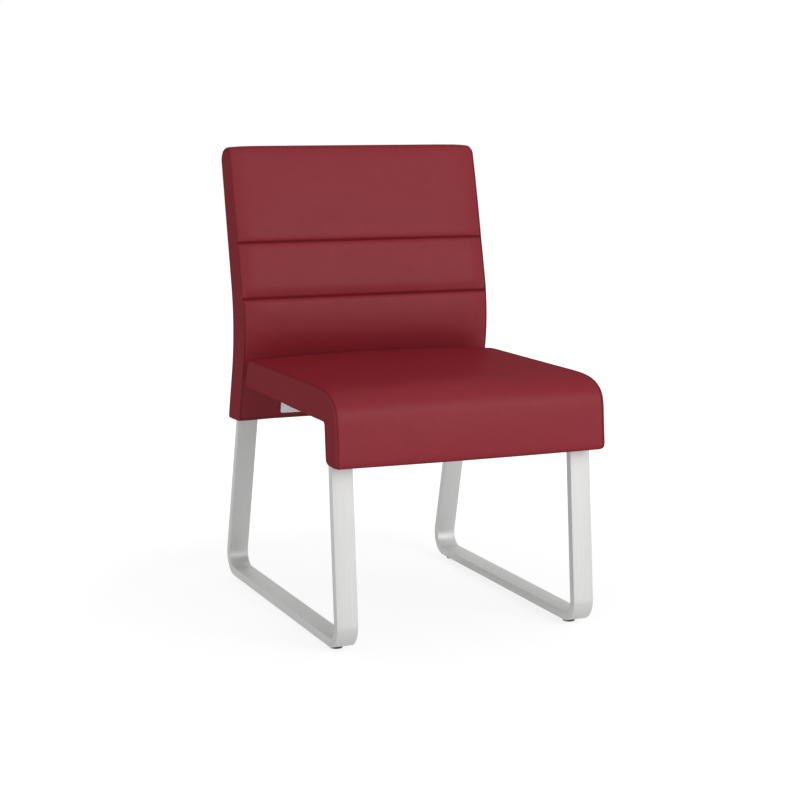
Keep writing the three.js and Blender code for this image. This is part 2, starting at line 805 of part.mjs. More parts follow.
for (const [side, sideName] of [[-1, 'left'], [1, 'right']]) {
  const [low, high] = side > 0 ? [innerFace, frameWidth / 2] : [-frameWidth / 2, -innerFace];
  const studs = glidePlaces.filter((glide) => glide.side === side)
    .map(({ place }) => turned(studProfile(clearance), place, up, screwSides));
  const bar = prism(frameOutline, low, high, barEase);
  add(`sled_${sideName}`, cut(bar, [...boltCuts, ...studs]), steel);
}

// Bracket and its screws

const bracketHalf = innerFace - bracketInset;
const bracketUpper = seatUnderside - clearance;
const bracketBend = footPoint(footFrontDepth + clearance, bracketUpper);
const flangeFront = bracketBend.y - bracketReach;
const bracketOutside = [
  footPoint(footFrontDepth + clearance, bracketBottom),
  { ...bracketBend, radius: bracketRadius },
  at(flangeFront, bracketUpper),
];
const bracketInnerZ = bracketUpper - bracketThickness;
const bracketInside = [
  footPoint(footFrontDepth + clearance + bracketThickness, bracketBottom),
  { ...footPoint(footFrontDepth + clearance + bracketThickness, bracketInnerZ),
    radius: bracketRadius - bracketThickness },
  at(flangeFront, bracketInnerZ),
];
const bracketOutline = [...roundOpen(bracketOutside), ...roundOpen(bracketInside).reverse()];

// Plate blank with rounded corners on its free edge, across X and along one other axis.
function blank(length, thickness) {
  const flat = bracketHalf - bracketCorner;
  const shape = new THREE.Shape();
  shape.moveTo(-bracketHalf, length);
  shape.lineTo(-bracketHalf, bracketCorner);
  shape.absarc(-flat, bracketCorner, bracketCorner, Math.PI, Math.PI * 1.5, false);
  shape.lineTo(flat, 0);
  shape.absarc(flat, bracketCorner, bracketCorner, -Math.PI / 2, 0, false);
  shape.lineTo(bracketHalf, length);
  return new THREE.ExtrudeGeometry(shape, {
    depth: thickness, bevelEnabled: false, curveSegments: plateSteps,
  });
}

// The bent plate, with the free corners of its upright and of its flange rounded.
function bracketShape() {
  const plate = prism(bracketOutline, -bracketHalf, bracketHalf);
  const rearEdge = bracketOutline[0].y + overrun;
  const height = bracketUpper - bracketBottom + overrun;
  const upright = blank(height, rearEdge - flangeFront + overrun).rotateX(Math.PI / 2);
  const flange = blank(rearEdge - flangeFront, height);
  return intersect(plate, [
    upright.translate(0, rearEdge, bracketBottom),
    flange.translate(0, flangeFront, bracketBottom - overrun / 2),
  ]);
}

const outerScrew = bracketHalf - screwInset;
const screwPlaces = [-outerScrew, 0, outerScrew];
const screwNames = ['left', 'middle', 'right'];
const deckScrewY = (flangeFront + deckRear) / 2;
const railScrewZ = (bracketBottom + bracketUpper) / 2;
const railScrewAt = footPoint(footFrontDepth + clearance + bracketThickness, railScrewZ);
const apronScrewAt = at(boardFront(deckMiddle).y + screwHeadHeight + clearance, deckMiddle);
const screwCuts = { deck: [], rail: [], apron: [] };

screwPlaces.forEach((x, i) => {
  const rows = {
    deck: [at(deckScrewY, bracketInnerZ - clearance), down, deckScrewLength],
    rail: [along(railScrewAt, reversed(rearward), clearance), reversed(rearward), railScrewLength],
    apron: [apronScrewAt, ahead, apronScrewLength],
  };
  for (const [row, [place, out, length]] of Object.entries(rows)) {
    const screw = (grow) => (
      turned(screwProfile(length, grow), point(x, place), vector(out), screwSides));
    add(`${row}_screw_${screwNames[i]}`, screw(0), zinc);
    screwCuts[row].push(screw(clearance));
  }
});

add('seat_back_bracket', cut(bracketShape(), [...screwCuts.deck, ...screwCuts.rail]), zinc);

// Seat

const [underStart] = seat.marks.rearLow;
const innerMark = seat.marks.inner;
const countersinks = screwPlaces.map((x) => turned([
  [0, 0], [screwHeadRadius + clearance, 0], [screwHeadRadius + clearance, overrun], [0, overrun],
], point(x, apronScrewAt), vector(ahead), screwSides));
const deck = prism(deckOutline(0), -deckHalf, deckHalf);
const board = prism(boardOutline(0), -deckHalf, deckHalf);

add('seat_deck', cut(deck, [...screwCuts.deck, ...screwCuts.apron]), plywood);
add('apron_board', cut(board, [...boltCuts, ...screwCuts.apron, ...countersinks]), plywood);

// The deck and the board leave the foam open below and behind them.
const deckRoom = prism(deckOutline(clearance), -deckHalf - clearance, deckHalf + clearance);
const underRoom = prism([
  at(deckFront - clearance, seatUnderside - overrun), at(deckRear + clearance, seatUnderside - overrun),
  at(deckRear + clearance, deckTop), at(deckFront - clearance, deckTop),
], -deckHalf - clearance, deckHalf + clearance);
const boardRoom = prism([
  ...boardOutline(clearance).slice(2), ...boardOutline(clearance + overrun).slice(0, 1),
  ...boardOutline(clearance + overrun).slice(1, 2),
], -deckHalf - clearance, deckHalf + clearance);
add('seat_foam', cut(filling(seat), [deckRoom, underRoom, boardRoom, ...boltCuts]), foam);

add('seat_cover', cut(panel(seat, underStart, innerMark[0]), boltCuts), leather);
add('seat_side_left', boxing(seat, -1), leather);
add('seat_side_right', boxing(seat, 1), leather);

const dustHalf = seatHalf - sideEdge - clearance;
const dustRear = seat.points[underStart].y - clearance;
const dustFront = seat.points[innerMark[1]].y + clearance;
const dustSheet = prism([
  at(dustFront, seatUnderside), at(dustRear, seatUnderside),
  at(dustRear, seatUnderside + dustCoverThickness), at(dustFront, seatUnderside + dustCoverThickness),
], -dustHalf, dustHalf);
add('seat_dust_cover', cut(dustSheet, screwCuts.deck), fabric);

// Back

const legCuts = [legClearance(-1), legClearance(1)];
const ply = prism(plyOutline, -plyHalf, plyHalf);
const rail = prism(railOutline(0), -railHalf, railHalf);
add('back_panel', cut(ply, boltCuts), plywood);
add('back_foot_rail', cut(rail, screwCuts.rail), hardwood);

const farRear = rearCurve[rearCurve.length - 1].y + footDepth;
const farFront = backFront(bulgeEnd).y - footDepth;
const roomHalf = backHalf + overrun;
const behindPly = prism([
  at(farRear, backBottom - overrun),
  ...roundOpen(backLine(plyFrontDepth + clearance, backBottom - overrun, plyTop + clearance)),
  topPoint(plyRearDepth, plyTop + clearance), topPoint(plyRearDepth, backTop + overrun),
  at(farRear, backTop + overrun),
], -roomHalf, roomHalf);
const beforePly = prism([
  at(farFront, backBottom - overrun),
  ...roundOpen(backLine(plyRearDepth - clearance, backBottom - overrun, backTop + overrun)),
  at(farFront, backTop + overrun),
], -roomHalf, roomHalf);

const railRoom = prism([
  ...railOutline(clearance).slice(0, 2), ...railOutline(clearance + overrun).slice(2),
], -railHalf - clearance, railHalf + clearance);
const wholeFilling = filling(back);
add('back_foam', cut(wholeFilling, [behindPly, railRoom, ...legCuts, ...boltCuts]), foam);
add('back_rear_foam', cut(wholeFilling, [beforePly, ...boltCuts]), foam);

const [upperMark] = back.marks.upperChannel;
const [lowerMark] = back.marks.lowerChannel;
const [topMark] = back.marks.topRear;
const footMark = back.marks.footFront[0];
add('back_cover_upper', panel(back, topMark, upperMark - 1), leather);
add('back_cover_middle', panel(back, upperMark, lowerMark - 1), leather);
add('back_cover_lower', cut(panel(back, lowerMark, footMark), screwCuts.rail), leather);
add('back_cover_rear', cut(panel(back, footMark, topMark), legCuts), leather);
add('back_side_left', cut(boxing(back, -1), legCuts), leather);
add('back_side_right', cut(boxing(back, 1), legCuts), leather);

// Origin: on the floor, under the middle of the bounding box

const box = new THREE.Box3().setFromObject(chair);
chair.position.y = -(box.min.y + box.max.y) / 2;

export default chair;
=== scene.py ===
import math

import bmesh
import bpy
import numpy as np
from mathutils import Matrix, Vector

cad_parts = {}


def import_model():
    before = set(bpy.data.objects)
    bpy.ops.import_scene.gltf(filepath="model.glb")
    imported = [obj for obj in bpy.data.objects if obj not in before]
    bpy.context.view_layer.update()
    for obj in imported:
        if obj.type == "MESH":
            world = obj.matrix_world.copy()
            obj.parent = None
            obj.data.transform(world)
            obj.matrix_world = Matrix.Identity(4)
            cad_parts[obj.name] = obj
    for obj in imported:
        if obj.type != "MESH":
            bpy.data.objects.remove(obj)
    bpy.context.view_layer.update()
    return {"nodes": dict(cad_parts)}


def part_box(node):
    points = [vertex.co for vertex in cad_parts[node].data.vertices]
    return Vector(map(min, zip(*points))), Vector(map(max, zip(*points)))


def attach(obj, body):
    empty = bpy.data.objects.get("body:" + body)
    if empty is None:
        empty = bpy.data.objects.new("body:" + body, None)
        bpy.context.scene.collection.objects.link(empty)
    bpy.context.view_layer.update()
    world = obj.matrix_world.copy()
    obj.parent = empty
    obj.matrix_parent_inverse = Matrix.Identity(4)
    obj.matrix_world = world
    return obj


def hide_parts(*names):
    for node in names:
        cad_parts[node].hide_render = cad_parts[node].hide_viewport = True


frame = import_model()

# Looks of the sled base visitor chair: padded seat and back, brushed side frames, bracket,
# fasteners, glides and dust cover, with the camera, light and floor of the photograph.
# Sizes are in millimetres, and meshes are made in metres. Side outlines hold (y, z) points,
# with y from the front corner of the floor rail. A zone is the pair of distances, heights or
# shares between which a form comes in or fades.

MM = 0.001
DEGREE = math.pi / 180
ORIGIN_Y = 295.4728

# Fits and the side frames
clearance = 0.3
frame_width, bar_width, bar_thickness, bar_ease, bar_end_inset = 480, 38, 15, 1.3, 0.45
bend_radius, footprint = 40, 624
front_lean, rear_lean, back_rake = 4.9 * DEGREE, 15 * DEGREE, 12.4 * DEGREE
glide_height, glide_radius, glide_setback = 7, 11, 58
leg_top_gap, rear_leg_reach = 8, 178
bar_bend_step, bar_straight_step, bar_bent = 1.7, 9, 0.005

# Corners sharper than these stay crisp
bar_crisp, turned_crisp, bracket_crisp, staple_crisp = [angle * DEGREE for angle in (35, 32, 40, 60)]

# Upholstery
cover_thickness, board_thickness, dust_cover_thickness = 1.2, 15, 1
side_puff, cloth_pressure, cloth_frames = 1.1, 4.0, 20
side_bead, side_bead_place = 0.2, 2.4
# Widths of the shade painted into the seams, and of the gathering beside them
seam_shade_widths, sewn_widths = (1.5, 1.4), (7, 8)                 # beside side seams and other seams

# Grids of the cushions: least steps, and their growth away from the seams
bend_share, fine_step, coarse_step, side_stride = 0.3, 1.4, 4, 1.35
seam_step, seam_growth, side_step, side_growth = 0.9, 0.32, 0.8, 0.42
facing_zone, under_ease, pull_start = (0.3, 0.8), 0.75, 0.75

# Seat
seat_width, seat_underside, seat_thickness = 496.6, 393, 51.7
seat_seam = seat_underside + seat_thickness
seat_fall, seat_gap, seat_crown = 3.3, 30.5, 8
seat_rear_radius, seat_corner_radius, seat_inner_radius = 14, 9, 4
seat_edge, seat_rear_edge, seat_side_pull = 4.5, 2.7, 0.8
edge_fall, edge_power, edge_zone = 1.3, 12, (20, 45)
hem_drop, rear_hem_drop = 3.5, 1.2
hem_zone, hem_front_zone, hem_change_zone = (3, 24), (-8, 0), (150, 290)
waterfall_run, waterfall_drop, waterfall_pull = 122, 50, 0.555
apron_drop, apron_thickness, apron_lip, apron_corner = 74, 44, 6.5, 6.5
lip_zone, lip_rear_zone, lip_ceiling, leg_side_zone = (0.5, 0.95), (6, 40), 2, (0.6, 2)
apron_corner_zone = (2, 26)

# Back
back_width, back_drop, back_rise = 499.8, 73, 386
back_bottom, back_top = seat_underside - back_drop, seat_seam + back_rise
back_edge, back_rear_edge, back_rear_crown = 2.4, 6, 2
lumbar_height, lumbar_radius = seat_seam + 47.3, 346
foot_foam, middle_swell, lumbar_swell = 16.5, 2.5, 4.2
bulge_zone = seat_underside + 12, seat_underside + 97
taper_start, top_taper, taper_power = back_top - 206, 8.6, 1.15
pillow_run, pillow_power, pillow_rise = 34, 2.0, 3.2
top_rear_radius, top_front_radius, foot_radius = 17, 11, 8
top_corner, top_sag, top_sag_run, shoulder_zone = 11, 2.6, 62, (-62, -6)
side_draw, side_draw_run, side_depth_zone = 2.4, 40, (6, 48)
foot_swell, foot_swell_zone = 5.5, (-64, -8)
ply_thickness, rear_foam = 12, 6
channel_heights = back_top - 176, back_top - 276.5
channel_rolls = (17, 10, 4.6), (26, 11, 8)                      # run above, run below, depth
roll_power, channel_end_depth, channel_end_run = 2.2, 0.35, 9
lumbar_zone = (-10, 12)
recess, upper_recess, upper_recess_zone = 0.8, 0.9, (-14, 26)
drawn_recess, drawn_drop, drawn_run = 1.5, 10, 50

# Bracket and fasteners
bracket_inset, bracket_thickness, bracket_radius, bracket_reach, bracket_corner = 36, 3, 6, 110, 5
bracket_bottom, bracket_ease = back_bottom + 12, 0.35
bolt_radius, bolt_head_radius, bolt_head_height, socket_radius, socket_depth = 4, 7, 4.4, 2.5, 2.4
screw_radius, screw_head_radius, screw_head_height = 2, 4, 2.4
deck_screw_length, rail_screw_length = 13, 20
front_bolt_shares = (('upper', 0.72), ('lower', 0.18))
tee_flange = 1.5

# Dust cover and its staples
cloth_side_margin, cloth_front_margin, cloth_rear_margin = 9, 6, 4
cloth_thickness, cloth_level, cloth_sag, cloth_wave, cloth_fold = 0.45, 0.55, 0.4, 0.22, 0.15
cloth_sag_zone, cloth_fold_zone = (5, 60), (9, 11)
cloth_grid, cloth_waves, cloth_wave_lengths = (96, 84), 14, (60, 170)
staple_wire, staple_crown, staple_inset, staple_spacing = 0.45, 10, 5, 48


# Side outlines

def vec(y, z):
    return np.array([y, z], float)


def unit(v):
    return v / np.linalg.norm(v)


front_up = vec(math.sin(front_lean), math.cos(front_lean))
rear_up = vec(-math.sin(rear_lean), math.cos(rear_lean))
forward = vec(-math.cos(front_lean), math.sin(front_lean))
rearward = vec(math.cos(rear_lean), math.sin(rear_lean))
back_up = vec(math.sin(back_rake), math.cos(back_rake))
back_out = vec(math.cos(back_rake), -math.sin(back_rake))


def front_face(z):
    return vec(0, glide_height) + front_up * (z - glide_height) / front_up[1]


def rear_face(z):
    return vec(footprint, glide_height) + rear_up * (z - glide_height) / rear_up[1]


def rounded(corners, closed=True, step=0.8):
    """Polyline through (point, radius) corners, each one rounded by its arc."""
    points = []
    count = len(corners)
    for i, (p, radius) in enumerate(corners):
        if not radius or (not closed and i in (0, count - 1)):
            points.append(p)
            continue
        a = unit(p - corners[i - 1][0])
        b = unit(corners[(i + 1) % count][0] - p)
        turn = math.atan2(a[0] * b[1] - a[1] * b[0], a @ b)
        start = p - a * radius * abs(math.tan(turn / 2))
        centre = start + vec(-a[1], a[0]) * math.copysign(radius, turn)
        steps = max(3, math.ceil(abs(turn) * radius / step))
        first = math.atan2(*(start - centre)[::-1])
        for k in range(steps + 1):
            angle = first + turn * k / steps
            points.append(centre + radius * vec(math.cos(angle), math.sin(angle)))
    return np.array(points)


class Track:
    """A polyline measured along its length."""

    def __init__(self, points, closed=True):
        self.closed = closed
        self.points = np.vstack([points, points[:1]]) if closed else points
        steps = np.linalg.norm(np.diff(self.points, axis=0), axis=1)
        self.lengths = np.concatenate([[0], np.cumsum(steps)])
        self.total = self.lengths[-1]

    def at(self, s):
        s = np.mod(s, self.total) if self.closed else s
        return np.stack([np.interp(s, self.lengths, self.points[:, k]) for k in (0, 1)], axis=-1)

    def normal(self, s, reach=0.8):
        t = self.at(s + reach) - self.at(s - reach)
        t = t / np.linalg.norm(t, axis=-1, keepdims=True)
        return np.stack([t[..., 1], -t[..., 0]], axis=-1)

    def nearest(self, p):
        s = np.arange(0, self.total, 0.2)
        return s[np.argmin(np.linalg.norm(self.at(s) - p, axis=1))]

    def bend(self, s, reach=1.5):
        """How sharply the line turns at s, in radians per millimetre."""
        a, b = self.normal(s - reach), self.normal(s + reach)
        return np.abs(a[..., 0] * b[..., 1] - a[..., 1] * b[..., 0]) / (2 * reach)


def smooth(value, low, high):
    t = np.clip((value - low) / (high - low), 0, 1)
    return t * t * (3 - 2 * t)


def bow(x, half, power):
    return 1 - np.abs(np.clip(x / half, -1, 1)) ** power


def gap_to(s, seam, total):
    """Distance from s to seam along a closed outline."""
    return np.abs((s - seam + total / 2) % total - total / 2)


def corner_drop(x, half, radius):
    """How far a corner rounded by radius lies below the straight edge at x."""
    away = np.clip(x - (half - radius), 0, radius)
    return radius - np.sqrt(radius ** 2 - away ** 2)


# Seat and back outlines

ply_rear_depth = cover_thickness + clearance + rear_foam + clearance
leg_depth = ply_rear_depth + ply_thickness + clearance
foot_front_depth = leg_depth + bar_thickness + clearance + foot_foam + clearance + cover_thickness
foot_depth = foot_front_depth / math.cos(rear_lean)


def rear_surface(z):
    leg = rear_face(z) + rearward * leg_depth
    return leg + rear_up * (z - leg[1]) / rear_up[1]


def back_line(depth, low, high):
    """Corners of the line that runs up the back at a depth in front of its rear face."""
    share = depth / (1 + rearward @ back_out)
    vertex = rear_surface(lumbar_height) - (rearward + back_out) * share
    return [
        (vertex + rear_up * (low - vertex[1]) / rear_up[1], 0),
        (vertex, lumbar_radius + depth),
        (vertex + back_up * (high - vertex[1]) / back_up[1], 0),
    ]


rear_curve = rounded(back_line(0, 0, back_top + 4), closed=False)


def seam_recess(z):
    """How far the side seams of the back lie behind its front panels."""
    z = np.asarray(z, float)
    drawn = drawn_recess * np.exp(-((z - channel_heights[0] + drawn_drop) / drawn_run) ** 2)
    return recess + upper_recess * smooth(z - channel_heights[1], *upper_recess_zone) + drawn


def below_channel(z):
    """1 on the lumbar panel, and 0 above the channel over it."""
    return 1 - smooth(z - channel_heights[1], *lumbar_zone)


def back_front(z):
    """Front outline of the back at its side seams, before the sewn channels."""
    z = np.asarray(z, float)
    rear = np.interp(z, rear_curve[:, 1], rear_curve[:, 0])
    taper = np.clip((z - taper_start) / (back_top - taper_start), 0, None) ** taper_power
    swell = middle_swell + lumbar_swell * below_channel(z)
    depth = foot_depth + swell * smooth(z, *bulge_zone) - top_taper * taper
    return np.stack([rear - depth + seam_recess(z), z], axis=-1)


def foot_point(depth, z):
    return back_line(depth, z, back_top)[0][0]


def apron_back(z):
    return front_face(z) + forward * clearance


def apron_front(z):
    return front_face(z) + forward * (clearance + apron_thickness)


apron_bottom = seat_underside - apron_drop
apron_level = apron_bottom - (clearance + apron_thickness) * forward[1]
seat_rear_low = foot_point(foot_front_depth, seat_underside) - vec(seat_gap, 0)
seat_rear_high = seat_rear_low + rear_up * seat_thickness / rear_up[1]
seat_rear_hem = seat_rear_low + vec(0, dust_cover_thickness)
seat_brow = apron_front(seat_seam - seat_fall)


def waterfall():
    start = seat_brow + (seat_rear_high - seat_brow) * waterfall_run / (seat_rear_high - seat_brow)[0]
    pull = start + (seat_brow - start) * waterfall_pull
    end = seat_brow - front_up * waterfall_drop
    t = np.linspace(0, 1, 80)[:, None]
    return (start * (1 - t) ** 3 + 3 * pull * t * (1 - t) ** 2
            + 3 * seat_brow * t * t * (1 - t) + end * t ** 3)


seat_track = Track(rounded([
    (seat_rear_hem, seat_corner_radius),
    (seat_rear_high, seat_rear_radius),
    *[(p, 0) for p in waterfall()],
    (apron_front(apron_level), seat_corner_radius),
    (apron_back(apron_bottom), seat_corner_radius),
    (apron_back(seat_underside + dust_cover_thickness), seat_inner_radius),
]))

back_foot, back_bend, back_head = back_line(0, back_bottom, back_top)
back_track = Track(rounded([
    (back_foot[0], foot_radius),
    back_bend,
    (back_head[0], top_rear_radius),
    (back_front(back_top), top_front_radius),
    *[(back_front(z), 0) for z in np.arange(back_top - 16, back_bottom + 18, -2.0)],
    (back_front(back_bottom), foot_radius),
]))


# Meshes

def mesh_object(name, vertices, faces, edge_angle=None):
    """Object with smooth faces, in metres; corners sharper than edge_angle stay crisp."""
    mesh = bpy.data.meshes.new(name)
    mesh.from_pydata([tuple(v) for v in np.asarray(vertices) * MM], [], faces)
    mesh.validate()
    mesh.shade_smooth()
    if edge_angle:
        mesh.set_sharp_from_angle(angle=edge_angle)
    piece = bpy.data.objects.new(name, mesh)
    bpy.context.scene.collection.objects.link(piece)
    return piece


def place(y_z, x):
    """Points across the chair at x, from a side outline's (y, z) points."""
    y_z = np.asarray(y_z, float)
    x = np.broadcast_to(x, y_z.shape[:-1])
    return np.stack([x, y_z[..., 0] - ORIGIN_Y, y_z[..., 1]], axis=-1)


def finish_mesh(piece):
    """Replaces the object's mesh by what its modifiers make of it."""
    graph = bpy.context.evaluated_depsgraph_get()
    made = bpy.data.meshes.new_from_object(piece.evaluated_get(graph))
    piece.modifiers.clear()
    piece.data = made
    return piece


def recalc(piece):
    """Faces turned outwards."""
    work = bmesh.new()
    work.from_mesh(piece.data)
    bmesh.ops.recalc_face_normals(work, faces=work.faces)
    work.to_mesh(piece.data)
    work.free()
    return piece


def quads(at):
    """Faces between the neighbours in a grid of vertex numbers."""
    return np.stack([at[:-1, :-1], at[:-1, 1:], at[1:, 1:], at[1:, :-1]], axis=-1).reshape(-1, 4)


def tube(rings, count):
    """Faces round a tube of rings of count points each."""
    here = np.arange(rings * count).reshape(rings, count)
    return quads(np.hstack([here, here[:, :1]])).tolist()


def slab(name, first, second):
    """Closed plate between two grids of points."""
    at = np.arange(first[..., 0].size).reshape(first.shape[:2])
    rim = np.concatenate([at[0], at[1:, -1], at[-1, -2::-1], at[-2:0:-1, 0]])
    ahead = np.roll(rim, -1)
    wall = np.stack([rim, ahead, ahead + at.size, rim + at.size], axis=-1)
    faces = np.concatenate([quads(at)[:, ::-1], quads(at) + at.size, wall])
    return recalc(mesh_object(name, np.concatenate([first, second]).reshape(-1, 3), faces.tolist()))


def spaced(start, end, stride, count=None, samples=6000):
    """count + 1 places from start to end, closer together where stride(s) is small."""
    s = np.linspace(start, end, samples)
    weight = 1 / stride(s)
    sums = np.concatenate([[0], np.cumsum((weight[1:] + weight[:-1]) / 2 * np.diff(s))])
    return np.interp(np.linspace(0, sums[-1], (count or math.ceil(sums[-1])) + 1), sums, s)


class Cushion:
    """Closed padded form. Its side outline runs through four corner places a, b, c and d,
    and its skin is a grid of rings across the chair with a patch of m by k faces on each side.
    Its side seams lie edge inside its sides."""

    def __init__(self, track, half, edge, rear_edge, corners, shape, swell, seams, stride, fine):
        self.track, self.half, self.edge, self.shape, self.swell = track, half, edge, shape, swell
        a, b, c, d = corners
        least = fine_step if fine else coarse_step

        def pace(s):
            h = np.clip(bend_share / np.maximum(track.bend(s), 1e-6), least, stride)
            for seam in seams:
                h = np.minimum(h, seam_step + seam_growth * gap_to(s, seam, track.total))
            return h

        def span(start, end, count=None):
            return spaced(start, end + track.total * (end < start), pace, count)

        outer, short = span(a, b), span(b, c)
        self.m, self.k = len(outer) - 1, len(short) - 1
        inner, last = span(c, d, self.m), span(d, a, self.k)
        self.s = np.concatenate([outer[:-1], short[:-1], inner[:-1], last[:-1]])
        self.base, self.normals = track.at(self.s), track.normal(self.s)
        behind, below = [smooth(n, *facing_zone) for n in (self.normals[:, 0], -self.normals[:, 1])]
        self.rounding = (edge + (rear_edge - edge) * behind) * (1 - under_ease * below)
        reach = half - edge
        if fine:
            right = spaced(0, reach, lambda u: np.minimum(
                stride * side_stride, side_step + side_growth * (reach - u)), samples=3000)
        else:
            right = np.linspace(0, reach, math.ceil(reach / stride) + 1)
        self.x = np.concatenate([-right[:0:-1], right])
        self.angles = np.linspace(0, math.pi / 2, 7 if fine else 3)[1:]
        self.edge_steps = len(self.angles)
        self.ring_total = (len(self.x) + 2 * self.edge_steps) * len(self.s)

    def grid(self, push=0.0, puff=0.0, pull=0.0):
        """Vertices and faces. push moves each vertex of the main panel, puff swells the side
        panels, and pull draws the sides in between the front and the rear."""
        swell = self.swell(self.x[:, None], self.base[None], self.normals[None], self.s[None])
        main = place(self.base[None] + self.normals[None] * swell[..., None], self.x[:, None]) + push
        left, right = [], []
        for angle in self.angles:
            inset = self.base - self.normals * (self.rounding * (1 - math.cos(angle)))[:, None]
            x = self.half - self.edge * (1 - math.sin(angle))
            left.insert(0, place(inset, -x))
            right.append(place(inset, x))
        rings = np.array([*left, *main, *right])
        y = self.base[:, 0]
        middle = 1 - ((y - y.min()) / (y.max() - y.min()) * 2 - 1) ** 2
        rings[..., 0] -= np.sign(rings[..., 0]) * pull * middle * smooth(
            np.abs(rings[..., 0]), self.half * pull_start, self.half)
        self.shape(rings, self.base)
        count = len(self.s)
        faces = tube(len(rings), count)
        vertices = [rings.reshape(-1, 3)]
        offset = self.ring_total
        for ring, side in ((0, -1), (len(rings) - 1, 1)):
            inside, cap = self.patch(rings[ring], ring * count, offset, puff * side)
            vertices.append(inside)
            offset += len(inside)
            faces += [f[::-1] for f in cap] if side < 0 else cap
        return np.vstack(vertices), faces

    def seam_gap(self, vertex_count):
        """How far each vertex lies from the stitched lines of the sides."""
        band = self.edge * np.sin(self.angles)
        rings = np.concatenate([band[::-1], self.half - self.edge - np.abs(self.x), band])
        gap = np.full(vertex_count, float(self.edge))
        gap[:self.ring_total] = np.repeat(rings, len(self.s))
        return gap

    def patch(self, ring, first, offset, puff):
        """Side panel: a grid stretched between the four stretches of its outline."""
        m, k, n = self.m, self.k, len(ring)
        outer, short = ring[:m + 1], ring[m:m + k + 1]
        inner = ring[m + k:2 * m + k + 1][::-1]
        last = np.vstack([ring[2 * m + k:], ring[:1]])[::-1]
        u = np.linspace(0, 1, m + 1)[:, None, None]
        v = np.linspace(0, 1, k + 1)[None, :, None]
        spans = outer[:, None] * (1 - v) + inner[:, None] * v
        spans = spans + last[None] * (1 - u) + short[None] * u
        spans = spans - (outer[0] * (1 - u) * (1 - v) + outer[-1] * u * (1 - v)
                         + inner[0] * (1 - u) * v + inner[-1] * u * v)
        spans[..., 0] += puff * (1 - (2 * u[..., 0] - 1) ** 6) * (1 - (2 * v[..., 0] - 1) ** 2)
        index = np.empty((m + 1, k + 1), int)
        index[:, 0] = first + np.arange(m + 1)
        index[m] = first + m + np.arange(k + 1)
        index[:, k] = first + 2 * m + k - np.arange(m + 1)
        index[0] = first + (n - np.arange(k + 1)) % n
        index[1:m, 1:k] = offset + np.arange((m - 1) * (k - 1)).reshape(m - 1, k - 1)
        return spans[1:m, 1:k].reshape(-1, 3), np.roll(quads(index)[:, ::-1], 1, axis=1).tolist()


def inflate(coarse, held, target):
    """Cloth simulation of the cover under the padding's pressure. Returns how far each vertex
    of the main panel moves, with the largest move brought to the target."""
    vertices, faces = coarse.grid()
    count, total = len(coarse.s), coarse.ring_total
    piece = mesh_object('cover_trial', vertices, faces)
    pins = piece.vertex_groups.new(name='sewn')
    fixed = [i for i, p in enumerate(vertices) if i >= total or held(p, coarse.s[i % count])]
    pins.add(fixed, 1.0, 'REPLACE')
    cloth = piece.modifiers.new('Cloth', 'CLOTH')
    fabric = cloth.settings
    fabric.quality, fabric.mass = 6, 0.15
    fabric.tension_stiffness = fabric.compression_stiffness = 12
    fabric.shear_stiffness, fabric.bending_stiffness = 6, 0.4
    fabric.use_pressure, fabric.uniform_pressure_force = True, cloth_pressure
    fabric.vertex_group_mass = 'sewn'
    fabric.effector_weights.gravity = 0
    cloth.collision_settings.use_collision = False
    cloth.point_cache.frame_start, cloth.point_cache.frame_end = 1, cloth_frames
    scene = bpy.context.scene
    for number in range(1, cloth_frames + 1):
        scene.frame_set(number)
    graph = bpy.context.evaluated_depsgraph_get()
    done = piece.evaluated_get(graph).data
    moved = np.empty(len(done.vertices) * 3)
    done.vertices.foreach_get('co', moved)
    move = moved.reshape(-1, 3)[:total] / MM - vertices[:total]
    scene.frame_set(1)
    bpy.data.objects.remove(piece)
    move = move.reshape(-1, count, 3)[coarse.edge_steps:-coarse.edge_steps]
    reach = np.linalg.norm(move, axis=2).max()
    print('cloth moved', round(float(reach), 2), 'mm on', len(vertices), 'vertices')
    return move * min(1.0, target / reach) if reach > 0 else move


def cubic(values, position, axis):
    """Catmull-Rom reading of values at fractional positions along an axis."""
    values = np.moveaxis(values, axis, 0)
    last = len(values) - 1
    i = np.clip(np.floor(position).astype(int), 0, last - 1)
    t = (position - i).reshape((-1,) + (1,) * (values.ndim - 1))
    p0, p1, p2, p3 = (values[np.clip(i + step, 0, last)] for step in (-1, 0, 1, 2))
    out = p1 + 0.5 * t * (p2 - p0 + t * (2 * p0 - 5 * p1 + 4 * p2 - p3 + t * (3 * (p1 - p2) + p3 - p0)))
    return np.moveaxis(out, 0, axis)


def carry(move, coarse, fine):
    """The coarse grid's moves, read at the fine grid's places."""
    total = coarse.track.total
    order = np.argsort(coarse.s % total)
    s = (coarse.s % total)[order]
    wrapped = np.concatenate([s[-3:] - total, s, s[:3] + total])
    ring = move[:, order]
    ring = np.concatenate([ring[:, -3:], ring, ring[:, :3]], axis=1)
    around = np.interp(fine.s % total, wrapped, np.arange(len(wrapped)))
    across = np.interp(fine.x, coarse.x, np.arange(len(coarse.x)))
    return cubic(cubic(ring, around, 1), across, 0)


def side_groove(cushion, depth, width):
    """Depth of the stitched line between the main panel and the side panel."""
    away = np.abs(np.abs(cushion.x) - (cushion.half - cushion.edge)) / width
    return depth * np.exp(-away ** 2) - side_bead * np.exp(-(away - side_bead_place) ** 2)


